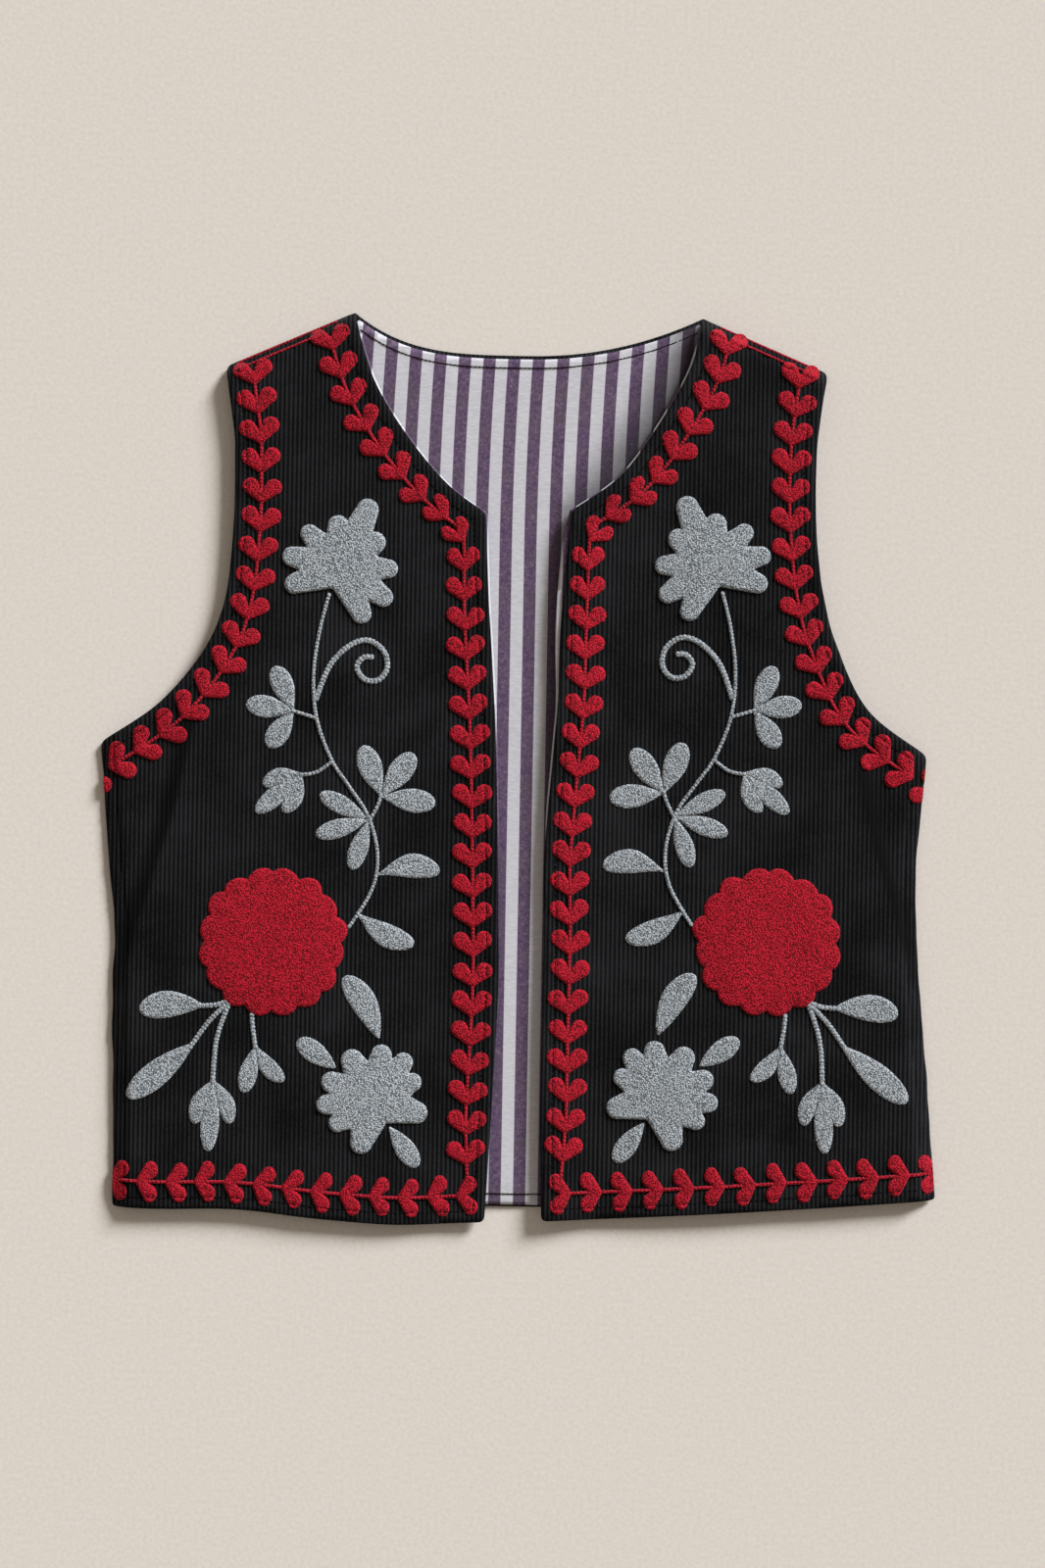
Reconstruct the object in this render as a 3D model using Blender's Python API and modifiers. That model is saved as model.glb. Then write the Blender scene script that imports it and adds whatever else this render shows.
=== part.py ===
# Embroidered waistcoat laid flat: a corduroy back and two fronts, striped linings,
# and raised yarn embroidery. X runs across the garment, Y from hem to neck, Z up.
# Left and right are as seen from above, -X and +X. Lengths are in millimetres and
# are turned to metres when an object is made.

import math

import bmesh
import bpy
from mathutils import Vector
from mathutils.bvhtree import BVHTree
from mathutils.geometry import delaunay_2d_cdt

MM = 0.001

# Cloth and yarn
SHELL_THICKNESS = 1.6
LINING_THICKNESS = 1.0
LAYER_GAP = 0.3
YARN_GAP = 0.35
YARN_HEIGHT = {"leaf": 1.1, "heart": 1.7, "flower_rim": 1.3, "flower_crown": 2.1}

# How the layers lie on each other
BACK_LINING_FLOOR = SHELL_THICKNESS + LAYER_GAP
SEAM_FLOOR = SHELL_THICKNESS + LAYER_GAP
FRONT_FLOOR = 4.5
SIDE_ROLL = 12.0
SHOULDER_ROLL = 6.5
LINING_PEEK = 1.0
LINING_SEAM_SHARE = 0.062
LINING_TOP_STATION = 12.6
LINING_HEM_STATION = 0.05

# The fronts, a row for each section from the hem up to the shoulder seam.
# section, outer x, outer y, inner x, inner y
LEFT_SECTIONS = (
    ("hem", -243.2, -267.4, -17.8, -273.1),
    ("skirt", -243.5, -212.3, -14.7, -208.3),
    ("hip", -245.3, -140.0, -11.8, -135.0),
    ("waist", -244.4, -102.0, -12.2, -95.0),
    ("ribs", -249.0, -55.0, -13.3, -51.0),
    ("armpit", -254.8, 13.7, -15.6, 16.2),
    ("armhole_foot", -220.0, 39.0, -17.5, 48.0),
    ("armhole_low", -194.0, 73.3, -19.6, 78.0),
    ("armhole_curve", -180.2, 105.5, -21.6, 104.9),
    ("neck_corner", -176.4, 150.0, -24.1, 156.1),
    ("armhole_mid", -177.0, 175.0, -48.2, 173.7),
    ("armhole_high", -178.2, 200.0, -73.6, 203.6),
    ("neck_high", -180.2, 223.0, -93.8, 237.1),
    ("shoulder", -182.6, 242.5, -105.4, 274.8),
)
RIGHT_SECTIONS = (
    ("hem", 254.8, -255.1, 16.6, -271.8),
    ("skirt", 250.6, -206.0, 15.0, -208.0),
    ("hip", 244.6, -140.0, 15.2, -135.0),
    ("waist", 241.6, -105.4, 15.4, -95.0),
    ("ribs", 239.9, -56.2, 14.7, -51.0),
    ("armpit", 245.4, 13.7, 19.4, 16.5),
    ("armhole_foot", 212.2, 40.3, 21.3, 43.0),
    ("armhole_low", 191.0, 78.9, 22.4, 79.6),
    ("armhole_curve", 180.2, 112.0, 24.6, 110.0),
    ("neck_corner", 175.8, 150.0, 29.3, 157.7),
    ("armhole_mid", 175.0, 178.0, 57.6, 180.4),
    ("armhole_high", 175.8, 202.9, 81.3, 214.1),
    ("neck_high", 178.3, 225.2, 98.2, 246.0),
    ("shoulder", 179.7, 242.4, 105.0, 274.9),
)
SECTION_NAMES = [row[0] for row in LEFT_SECTIONS]
ARMPIT = SECTION_NAMES.index("armpit")
NECK_CORNER = SECTION_NAMES.index("neck_corner")
SHOULDER = SECTION_NAMES.index("shoulder")
SIDES = {
    "left": {"sign": -1, "sections": LEFT_SECTIONS, "hem_sag": 3.0, "neck_rise": 0.0},
    "right": {"sign": 1, "sections": RIGHT_SECTIONS, "hem_sag": 1.2, "neck_rise": 0.9},
}

# The back shows in the neck and between the fronts.
BACK_NECK_Y = 251.9
BACK_NECK_POINTS = 14
BACK_HEM_Y = -264.5
BACK_HEM_RISE = 3.0
BACK_INSET = 0.8
BACK_LINING_INSET = {"side": 13.5, "armhole": 2.5, "neck": 1.6, "hem": 2.5}

# Drape of the fronts: the line below the armhole where the cloth falls to the side.
# distance from the centre, height
CREST = ((196.0, 30.0), (209.0, -30.0), (218.0, -60.0), (226.0, -86.0), (237.0, -125.0), (249.0, -155.0))
SWELL_HEIGHT = 2.3
SWELL_START = 22.0
SWELL_RUN = 110.0
FALL_HEIGHT = 2.0
FALL_RUN = 24.0
# side, distance from the centre, low y, high y, half width, height
FOLDS = (
    ("left", 136.0, -262.0, -150.0, 16.0, 0.55),
    ("left", 206.0, -70.0, 60.0, 18.0, 0.5),
    ("right", 150.0, 40.0, 170.0, 15.0, 0.55),
    ("right", 134.0, -150.0, -60.0, 14.0, 0.45),
    ("right", 196.0, -240.0, -150.0, 20.0, 0.5),
)

# Heart-leaf borders. A heart is two lobes that meet at its tip.
HEART_LOOK_BACK = 20.0
HEART_LOBE = {"back": 10.2, "aside": 7.0, "radius": 5.2, "notch": 8.3}
VINE_LINE_WIDTH = 2.2
VINE_INSET = {"neck": 18.0, "front": 15.6, "front_at_hem": 11.8, "hem": 16.4, "armhole": 16.0}
BORDER_MARGIN = 1.5
# hearts, first tip from the start of the line, last tip from its end
NECK_AND_FRONT_HEARTS = (30, 19.5, 18.0)
HEM_HEARTS = (13, 5.9, -4.5)
ARMHOLE_HEARTS = (15, 13.4, 16.8)
CLIP_HEM_STATION = 0.04
CLIP_TOP_STATION = {"outer": 12.5, "inner": 12.75}

# Motifs, given for the left front as distance out from the centre and height.
# Angles run anticlockwise from straight out to the side, on the right front.
RIGHT_MOTIF_SHIFT = (1.6, 5.0)
ROSETTE = {"centre": (148.8, -105.7), "radius": 45.0, "scallops": 16, "bulge": 3.4, "points": 5}
# petals: turn from the middle one, reach of the end's centre from the base, width of the end
ROUND_FLOWER = {"base": (77.2, -215.5), "facing": 60.4, "hub": 17.0, "core": 14.0,
                "petals": ((0.0, 44.8, 14.0), (23.5, 42.8, 13.0), (42.5, 39.4, 11.9), (58.3, 30.2, 11.3),
                           (94.2, 19.0, 13.7))}
FAN_FLOWER = {"base": (116.7, 107.3), "facing": 113.0, "hub": 15.5, "core": 12.0,
              "petals": ((0.0, 53.4, 13.8), (18.0, 39.3, 13.2), (45.0, 36.9, 11.5), (73.0, 31.6, 12.0),
                         (103.5, 22.8, 12.2))}
STEM_WIDTH = 2.3
MAIN_STEM = ((117.9, 105.6), (123.0, 85.3), (126.6, 57.9), (124.5, 30.7), (115.0, 5.3), (104.2, -10.5),
             (91.9, -29.3), (86.1, -52.3), (89.5, -73.6), (101.2, -94.4))
TENDRIL = ((125.3, 40.8), (120.6, 56.5), (109.0, 71.5), (94.5, 77.4), (83.6, 71.6), (82.2, 62.0),
           (88.6, 56.4), (95.6, 60.4), (94.0, 66.6))
# Leaves: base x, base y, length, angle, width, bend, fullness of the base
STEM_LEAVES = (
    (138.3, 34.2, 29.4, 66.0, 13.6, 0.0, 1.0), (138.3, 34.2, 29.0, 8.0, 13.6, 0.0, 1.0),
    (138.3, 34.2, 26.8, -56.0, 13.6, 0.0, 1.0), (132.6, -3.6, 24.6, -16.0, 10.5, 2.0, 1.0),
    (132.6, -3.6, 36.5, -41.0, 11.5, 0.0, 1.0), (132.6, -3.6, 26.0, -66.0, 10.5, -2.0, 1.0),
    (84.5, -16.7, 32.8, 69.0, 14.6, 0.0, 1.0), (84.5, -16.7, 32.7, 126.0, 14.6, 0.0, 1.0),
    (84.5, -16.7, 32.9, 186.0, 14.6, 0.0, 1.0), (91.6, -30.7, 33.6, 27.0, 11.6, 0.0, 1.0),
    (91.6, -30.7, 33.6, -17.0, 11.6, 0.0, 1.0), (91.6, -30.7, 32.0, -71.5, 11.6, 0.0, 1.0),
    (88.3, -64.2, 40.0, 174.3, 15.0, -4.0, 1.0), (99.5, -86.4, 41.0, 209.0, 14.5, 3.0, 1.0),
)
STEM_LINKS = (((124.6, 30.1), (139.5, 34.6)), ((114.6, 4.0), (124.0, -2.6), (134.0, -4.4)),
              ((91.4, -31.5), (86.5, -22.0), (84.5, -15.0)))
ROOT = (175.6, -144.6)
ROOT_STEMS = ((ROOT, (193.5, -145.0)), (ROOT, (186.0, -154.0), (198.0, -171.0)),
              (ROOT, (181.4, -165.0), (183.4, -191.5)))
ROOT_LEAVES = ((189.6, -144.8, 39.0, -4.0, 16.2, 2.0, 0.55), (195.0, -167.6, 48.6, -41.0, 15.6, 0.0, 0.55),
               (183.2, -189.6, 29.0, -67.0, 10.5, 2.0, 1.0), (183.2, -188.0, 45.0, -87.0, 11.5, 0.0, 1.0),
               (183.2, -189.6, 28.6, -113.0, 10.5, -2.0, 1.0))
SPRIG_STEMS = (((160.8, -152.4), (157.8, -170.0)),)
SPRIG_LEAVES = ((157.9, -167.8, 30.0, -77.0, 11.2, 0.0, 1.0), (157.9, -167.8, 28.0, -128.0, 10.8, 2.0, 1.0))
DROP_LEAF = (83.3, -162.9, 42.0, 60.2, 15.6, 2.5, 0.55)
UPPER_LEAF = (110.6, -180.1, 26.8, 35.6, 12.4, 0.0, 0.55)
LOWER_LEAF = (75.4, -217.6, 27.8, 233.9, 11.5, 0.0, 0.55)
LEAF_SIDE_POINTS = 4
LOBE_END_POINTS = 4
FLOWER_LATTICE = 15.0
SETTLE_PASSES = 4
SETTLE_WEIGHTS = ((1 / 3, 1 / 3, 1 / 3), (0.5, 0.5, 0.0), (0.5, 0.0, 0.5), (0.0, 0.5, 0.5),
                  (0.6, 0.2, 0.2), (0.2, 0.6, 0.2), (0.2, 0.2, 0.6))

COLOURS = {
    "black corduroy": ((0.011, 0.011, 0.012, 1.0), 0.85),
    "striped chambray": ((0.42, 0.39, 0.45, 1.0), 0.75),
    "red yarn": ((0.47, 0.012, 0.025, 1.0), 0.8),
    "grey yarn": ((0.36, 0.39, 0.4, 1.0), 0.8),
}


def clear_scene():
    for old in list(bpy.data.objects):
        bpy.data.objects.remove(old, do_unlink=True)


def make_collection():
    group = bpy.data.collections.new("embroidered_waistcoat")
    bpy.context.scene.collection.children.link(group)
    return group


def make_materials():
    made = {}
    for name, (colour, roughness) in COLOURS.items():
        material = bpy.data.materials.new(name)
        material.use_nodes = True
        shader = material.node_tree.nodes["Principled BSDF"]
        shader.inputs["Base Color"].default_value = colour
        shader.inputs["Roughness"].default_value = roughness
        shader.inputs["Metallic"].default_value = 0.0
        made[name] = material
    return made


def smooth(value):
    value = min(max(value, 0.0), 1.0)
    return value * value * (3.0 - 2.0 * value)


def through(points, station):
    """Point on a smooth curve through the given points, at a fractional index."""
    last = len(points) - 1
    index = min(int(station), last - 1)
    part = station - index
    a = points[max(index - 1, 0)]
    b, c = points[index], points[index + 1]
    d = points[min(index + 2, last)]
    square, cube = part * part, part * part * part
    return 0.5 * ((2.0 * b) + (c - a) * part + (2.0 * a - 5.0 * b + 4.0 * c - d) * square
                  + (3.0 * b - a - 3.0 * c + d) * cube)


def curve_points(points, steps):
    points = [Vector(p) for p in points]
    count = (len(points) - 1) * steps
    return [through(points, i / steps) for i in range(count + 1)]


def edge_point(sections, edge, station):
    """Outer or inner edge of a front at a station, with a corner at armpit or neck."""
    column, corner = (1, ARMPIT) if edge == "outer" else (3, NECK_CORNER)
    points = [Vector((row[column], row[column + 1])) for row in sections]
    if station <= corner:
        return through(points[:corner + 1], station)
    return through(points[corner:], station - corner)


def panel_point(side, share, station):
    """Point of a front: share runs from 0 at the outer edge to 1 at the inner edge."""
    outer = edge_point(side["sections"], "outer", station)
    inner = edge_point(side["sections"], "inner", station)
    point = outer.lerp(inner, share)
    point.y -= side["hem_sag"] * 4.0 * share * (1.0 - share) * smooth(1.0 - station)
    return point


def edge_run(side, edge, first, last, steps):
    count = abs(last - first) * steps
    direction = 1 if last > first else -1
    return [edge_point(side["sections"], edge, first + direction * i / steps) for i in range(count + 1)]


def distance_to_run(point, run):
    nearest = math.inf
    for a, b in zip(run, run[1:]):
        span = b - a
        share = min(max((point - a).dot(span) / span.length_squared, 0.0), 1.0)
        nearest = min(nearest, (point - a - span * share).length)
    return nearest


def crest_from_centre(height):
    if height >= CREST[0][1]:
        return CREST[0][0]
    for (x0, y0), (x1, y1) in zip(CREST, CREST[1:]):
        if height >= y1:
            return x0 + (x1 - x0) * (y0 - height) / (y0 - y1)
    return CREST[-1][0]


def front_height(side_name, point):
    """Underside of a front above the floor."""
    side = SIDES[side_name]
    out = abs(point.x)
    lift = SWELL_HEIGHT * smooth((out - SWELL_START) / SWELL_RUN)
    below_armhole = smooth((CREST[0][1] + 20.0 - point.y) / 50.0)
    lift -= FALL_HEIGHT * smooth((out - crest_from_centre(point.y)) / FALL_RUN) * below_armhole
    for name, from_centre, low, high, half_width, height in FOLDS:
        across = abs(out - from_centre) / half_width
        if name == side_name and across < 1.0:
            middle, half = (low + high) / 2.0, (high - low) / 2.0
            along = smooth(1.4 * (1.0 - abs(point.y - middle) / half))
            lift += height * math.cos(across * math.pi / 2.0) ** 2 * along
    lift += side["neck_rise"] * smooth((point.y - 90.0) / 90.0) * smooth((150.0 - out) / 90.0)
    roll = min(distance_to_run(point, side["side_seam"]) / SIDE_ROLL,
               distance_to_run(point, side["shoulder_seam"]) / SHOULDER_ROLL)
    return SEAM_FLOOR + (FRONT_FLOOR + lift - SEAM_FLOOR) * smooth(roll)


def add_object(name, mesh_source, material, group):
    mesh = bpy.data.meshes.new(name)
    bmesh.ops.scale(mesh_source, vec=(MM, MM, MM), verts=mesh_source.verts)
    mesh_source.to_mesh(mesh)
    mesh_source.free()
    mesh.materials.append(material)
    made = bpy.data.objects.new(name, mesh)
    group.objects.link(made)
    return made


def add_grid(shares, stations):
    """A grid with the given columns and rows, each point holding share and station."""
    bm = bmesh.new()
    bmesh.ops.create_grid(bm, x_segments=len(shares) - 1, y_segments=len(stations) - 1, size=0.5)
    for vert in bm.verts:
        column = round((vert.co.x + 0.5) * (len(shares) - 1))
        row = round((vert.co.y + 0.5) * (len(stations) - 1))
        vert.co = (shares[column], stations[row], 0.0)
    return bm


def front_shares():
    near_seam = [0.0, 0.02, 0.041, LINING_SEAM_SHARE]
    rest = 7
    return near_seam + [LINING_SEAM_SHARE + (1.0 - LINING_SEAM_SHARE) * i / rest for i in range(1, rest + 1)]


def front_stations():
    lower = [i / 2.0 for i in range(2 * (SHOULDER - 1) + 1)]
    near_seam = [LINING_TOP_STATION, 12.74, 12.87, float(SHOULDER)]
    return lower + near_seam


def build_front(side_name, material, group):
    side = SIDES[side_name]
    bm = add_grid(front_shares(), front_stations())
    for vert in bm.verts:
        point = panel_point(side, vert.co.x, vert.co.y)
        vert.co = (point.x, point.y, front_height(side_name, point))
    bmesh.ops.recalc_face_normals(bm, faces=bm.faces)
    if bm.faces[0].normal.z < 0.0:
        bmesh.ops.reverse_faces(bm, faces=bm.faces)
    bmesh.ops.triangulate(bm, faces=bm.faces)
    tree = BVHTree.FromBMesh(bm)
    front = add_object("front_" + side_name, bm, material, group)
    thicken(front, SHELL_THICKNESS)
    return tree


def thicken(cloth, thickness):
    wall = cloth.modifiers.new("wall", "SOLIDIFY")
    wall.thickness = thickness * MM
    wall.offset = 1.0
    cloth.data.shade_smooth()
    cloth.data.set_sharp_from_angle(angle=math.radians(50.0))


def build_front_lining(side_name, material, group):
    side = SIDES[side_name]
    shares = [share for share in front_shares() if share >= LINING_SEAM_SHARE]
    stations = [station for station in front_stations() if station <= LINING_TOP_STATION]
    bm = add_grid(shares, stations)
    for vert in bm.verts:
        share, station = vert.co.x, max(vert.co.y, LINING_HEM_STATION)
        point = panel_point(side, share, station)
        height = front_height(side_name, point) - LAYER_GAP - LINING_THICKNESS
        if share == 1.0:
            width = (panel_point(side, 1.0, station) - panel_point(side, 0.0, station)).length
            point = panel_point(side, 1.0 + LINING_PEEK / width, station)
        vert.co = (point.x, point.y, height)
    bmesh.ops.recalc_face_normals(bm, faces=bm.faces)
    if bm.faces[0].normal.z < 0.0:
        bmesh.ops.reverse_faces(bm, faces=bm.faces)
    bmesh.ops.triangulate(bm, faces=bm.faces)
    lining = add_object("front_lining_" + side_name, bm, material, group)
    thicken(lining, LINING_THICKNESS)


def inset_run(run, inset, inward):
    """Points of an open run moved sideways by inset; inward is 1 for the left hand."""
    moved = []
    for i, point in enumerate(run):
        ahead = run[min(i + 1, len(run) - 1)]
        behind = run[max(i - 1, 0)]
        along = (ahead - behind).normalized()
        moved.append(point + Vector((-along.y, along.x)) * inset * inward)
    return moved


def back_outline(insets):
    """Closed outline of the back, anticlockwise from the left hem corner."""
    left, right = SIDES["left"], SIDES["right"]
    hem = insets["hem"]

    def side_points(side, inward):
        seam = inset_run(edge_run(side, "outer", 0, ARMPIT, 2), insets["side"], inward)
        hole = inset_run(edge_run(side, "outer", ARMPIT, SHOULDER, 2), insets["armhole"], inward)
        corner = seam[0] + Vector((0.0, hem + BACK_HEM_RISE))
        top = hole[-1] - Vector((0.0, insets["shoulder"]))
        return [corner] + seam[1:-1] + [seam[-1].lerp(hole[0], 0.5)] + hole[1:-1] + [top]

    up_left = side_points(left, -1)
    up_right = side_points(right, 1)
    neck_left = left["shoulder_seam"][-1]
    neck_right = right["shoulder_seam"][-1]
    half = (neck_right.x - neck_left.x) / 2.0
    middle = (neck_right.x + neck_left.x) / 2.0
    reach = half - insets["neck"] * 1.3
    neck = []
    for i in range(BACK_NECK_POINTS + 1):
        across = reach * (2.0 * i / BACK_NECK_POINTS - 1.0)
        rise = (neck_left.y - BACK_NECK_Y) * (across / half) ** 2
        neck.append(Vector((middle + across, BACK_NECK_Y + rise - insets["neck"])))
    hem_points = [Vector((x, BACK_HEM_Y + hem)) for x in (20.0, -20.0)]
    return up_left + neck + up_right[::-1] + hem_points


def build_flat(name, outline, floor, thickness, material, group):
    """A flat layer from its outline, as a filled curve turned to a mesh."""
    curve = bpy.data.curves.new(name, "CURVE")
    curve.dimensions = "2D"
    curve.fill_mode = "BOTH"
    curve.extrude = thickness * MM / 2.0
    spline = curve.splines.new("POLY")
    spline.points.add(len(outline) - 1)
    for place, point in zip(spline.points, outline):
        place.co = (point.x * MM, point.y * MM, 0.0, 1.0)
    spline.use_cyclic_u = True
    guide = bpy.data.objects.new(name, curve)
    group.objects.link(guide)
    bpy.context.view_layer.update()
    evaluated = guide.evaluated_get(bpy.context.evaluated_depsgraph_get())
    mesh = bpy.data.meshes.new_from_object(evaluated)
    bpy.data.objects.remove(guide, do_unlink=True)
    bm = bmesh.new()
    bm.from_mesh(mesh)
    bmesh.ops.remove_doubles(bm, verts=bm.verts, dist=0.00001)
    bmesh.ops.translate(bm, vec=(0.0, 0.0, (floor + thickness / 2.0) * MM), verts=bm.verts)
    bmesh.ops.recalc_face_normals(bm, faces=bm.faces)
    bm.to_mesh(mesh)
    bm.free()
    mesh.materials.clear()
    mesh.materials.append(material)
    mesh.name = name
    layer = bpy.data.objects.new(name, mesh)
    group.objects.link(layer)


def place_motif(side_name, out, height):
    """A place on a front, from its distance to the centre and its height."""
    if side_name == "left":
        return Vector((-out, height))
    return Vector((out + RIGHT_MOTIF_SHIFT[0], height + RIGHT_MOTIF_SHIFT[1]))


def place_outline(side_name, outline):
    return [place_motif(side_name, x, y) for x, y in outline]


def leaf_outline(base_x, base_y, length, angle, width, bend, fullness):
    """A leaf with a round end; bend bows its middle sideways, a low fullness rounds its base."""
    along = Vector((math.cos(math.radians(angle)), math.sin(math.radians(angle))))
    across = Vector((-along.y, along.x))
    base = Vector((base_x, base_y))
    shares = [0.07] if fullness < 1.0 else []
    shares += [i / LEAF_SIDE_POINTS for i in range(1, LEAF_SIDE_POINTS)] + [0.93]

    def at(share, hand):
        roundness = fullness if share < 0.55 else 0.5
        half = 0.5 * width * math.sin(math.pi * share ** 1.3) ** roundness
        bow = bend * math.sin(math.pi * share)
        return base + along * length * share + across * (bow + hand * half)

    tip = base + along * length
    return [base] + [at(share, -1) for share in shares] + [tip] + [at(share, 1) for share in shares[::-1]]


def ribbon_outline(points, width):
    left = inset_run(points, width / 2.0, 1)
    right = inset_run(points, width / 2.0, -1)
    return left + right[::-1]


def rosette_outline():
    outline = []
    count = ROSETTE["scallops"] * ROSETTE["points"]
    for i in range(count):
        angle = 2.0 * math.pi * i / count
        bulge = abs(math.sin(angle * ROSETTE["scallops"] / 2.0))
        radius = ROSETTE["radius"] - ROSETTE["bulge"] * (1.0 - bulge)
        outline.append(Vector(ROSETTE["centre"]) + radius * Vector((math.cos(angle), math.sin(angle))))
    return outline


def arc(centre, radius, first_angle, last_angle, count):
    """Points on an arc between two angles in radians."""
    step = (last_angle - first_angle) / (count - 1)
    return [centre + radius * Vector((math.cos(first_angle + i * step), math.sin(first_angle + i * step)))
            for i in range(count)]


def lobe_outline(start, start_radius, end, end_radius):
    """A lobe with a round end, which widens or narrows from its straight start."""
    along = math.atan2(end.y - start.y, end.x - start.x)
    quarter = math.pi / 2.0
    return (arc(end, end_radius, along - quarter, along + quarter, LOBE_END_POINTS)
            + arc(start, start_radius, along + quarter, along + 3.0 * quarter, 2))


def flower_outlines(flower):
    """Petals that spread from a hub a little above the base, the same on both sides of the middle one."""
    base = Vector(flower["base"])
    facing = math.radians(flower["facing"])
    hub = base + flower["hub"] * Vector((math.cos(facing), math.sin(facing)))
    outlines = []
    for turn, reach, width in flower["petals"]:
        for hand in (1, -1) if turn else (1,):
            angle = facing + hand * math.radians(turn)
            end = base + reach * Vector((math.cos(angle), math.sin(angle)))
            outlines.append(lobe_outline(hub, flower["core"], end, width / 2.0))
    return outlines


def heart_outlines(tip, along):
    """Two lobes from the tip of a heart that points along the border."""
    across = Vector((-along.y, along.x))
    notch = tip - along * HEART_LOBE["notch"]
    outlines = []
    for hand in (1, -1):
        way = across * HEART_LOBE["aside"] * hand - along * HEART_LOBE["back"]
        angle = math.atan2(way.y, way.x)
        quarter = hand * math.pi / 2.0
        lobe = arc(tip + way, HEART_LOBE["radius"], angle - quarter, angle + quarter, LOBE_END_POINTS)
        outlines.append([tip] + lobe + [notch])
    return outlines


def along_run(run, distance):
    """Point at a distance along a run, drawn on straight past either end."""
    for a, b in zip(run, run[1:]):
        length = (b - a).length
        if distance <= length or b is run[-1]:
            return a + (b - a) * (distance / length)
        distance -= length
    return run[-1]


def run_length(run):
    return sum((b - a).length for a, b in zip(run, run[1:]))


def meeting_point(first, second):
    """Where the end of one run meets the start of the next, both drawn on straight."""
    a, b = first[-2], first[-1]
    c, d = second[0], second[1]
    one, two = b - a, d - c
    share = (c - a).cross(two) / one.cross(two)
    return a + one * share


def vine_runs(side_name):
    side = SIDES[side_name]
    inward = side["sign"]
    hem = [panel_point(side, 1.0 - i / 8.0, 0.0) for i in range(9)]
    front = inset_run(edge_run(side, "inner", NECK_CORNER, 0, 1), VINE_INSET["front"], inward)
    front[-1].x -= inward * (VINE_INSET["front"] - VINE_INSET["front_at_hem"])
    return {
        "neck": inset_run(edge_run(side, "inner", SHOULDER, NECK_CORNER, 2), VINE_INSET["neck"], inward),
        "front": front,
        "hem": inset_run(hem, VINE_INSET["hem"], inward),
        "armhole": inset_run(edge_run(side, "outer", SHOULDER, ARMPIT, 2), VINE_INSET["armhole"], -inward),
    }


def vine_outlines(run, hearts, first, last):
    """Line and hearts of one border; each heart turns with the line behind its tip."""
    outlines = [ribbon_outline(run, VINE_LINE_WIDTH)]
    room = run_length(run) - first - last
    for i in range(hearts):
        distance = first + room * i / (hearts - 1)
        tip = along_run(run, distance)
        behind = along_run(run, distance - HEART_LOOK_BACK)
        outlines += heart_outlines(tip, (tip - behind).normalized())
    return outlines


def front_clip(side_name):
    """Outline of a front drawn in from its edges, which the embroidery stays inside."""
    side = SIDES[side_name]
    rows = [CLIP_HEM_STATION] + [i / 2.0 for i in range(1, 2 * (SHOULDER - 1) + 1)]

    def drawn_in(edge, station, margin):
        width = (panel_point(side, 0.0, station) - panel_point(side, 1.0, station)).length
        return panel_point(side, margin / width if edge == "outer" else 1.0 - margin / width, station)

    margins = [SIDE_ROLL + 1.0 if row <= ARMPIT + 0.5 else BORDER_MARGIN for row in rows]
    outer = [drawn_in("outer", row, margin) for row, margin in zip(rows, margins)]
    outer.append(drawn_in("outer", CLIP_TOP_STATION["outer"], BORDER_MARGIN))
    inner = [drawn_in("inner", row, BORDER_MARGIN) for row in rows]
    inner.append(drawn_in("inner", CLIP_TOP_STATION["inner"], BORDER_MARGIN))
    return outer + inner[::-1]


def anticlockwise(outline):
    doubled_area = sum(a.cross(b) for a, b in zip(outline, outline[1:] + outline[:1]))
    return outline if doubled_area > 0.0 else outline[::-1]


def cloth_height(tree, point):
    """Top of a front under the yarn, with the gap that the yarn keeps to it."""
    below = tree.ray_cast(Vector((point.x, point.y, -50.0)), Vector((0.0, 0.0, 1.0)))[0]
    return below.z + SHELL_THICKNESS + YARN_GAP


def lay_on_cloth(bm, tree):
    """Set a flat mesh on the cloth, then lift corners until no face cuts a ridge."""
    for vert in bm.verts:
        vert.co.z = cloth_height(tree, vert.co)
    for _ in range(SETTLE_PASSES):
        for face in bm.faces:
            corners = [vert.co.copy() for vert in face.verts]
            for weights in SETTLE_WEIGHTS:
                spot = sum((c * w for c, w in zip(corners, weights)), Vector())
                short = cloth_height(tree, spot) - spot.z
                if short > 0.0:
                    for vert, corner, weight in zip(face.verts, corners, weights):
                        vert.co.z = max(vert.co.z, corner.z + short * min(1.0, 2.0 * weight))


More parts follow.
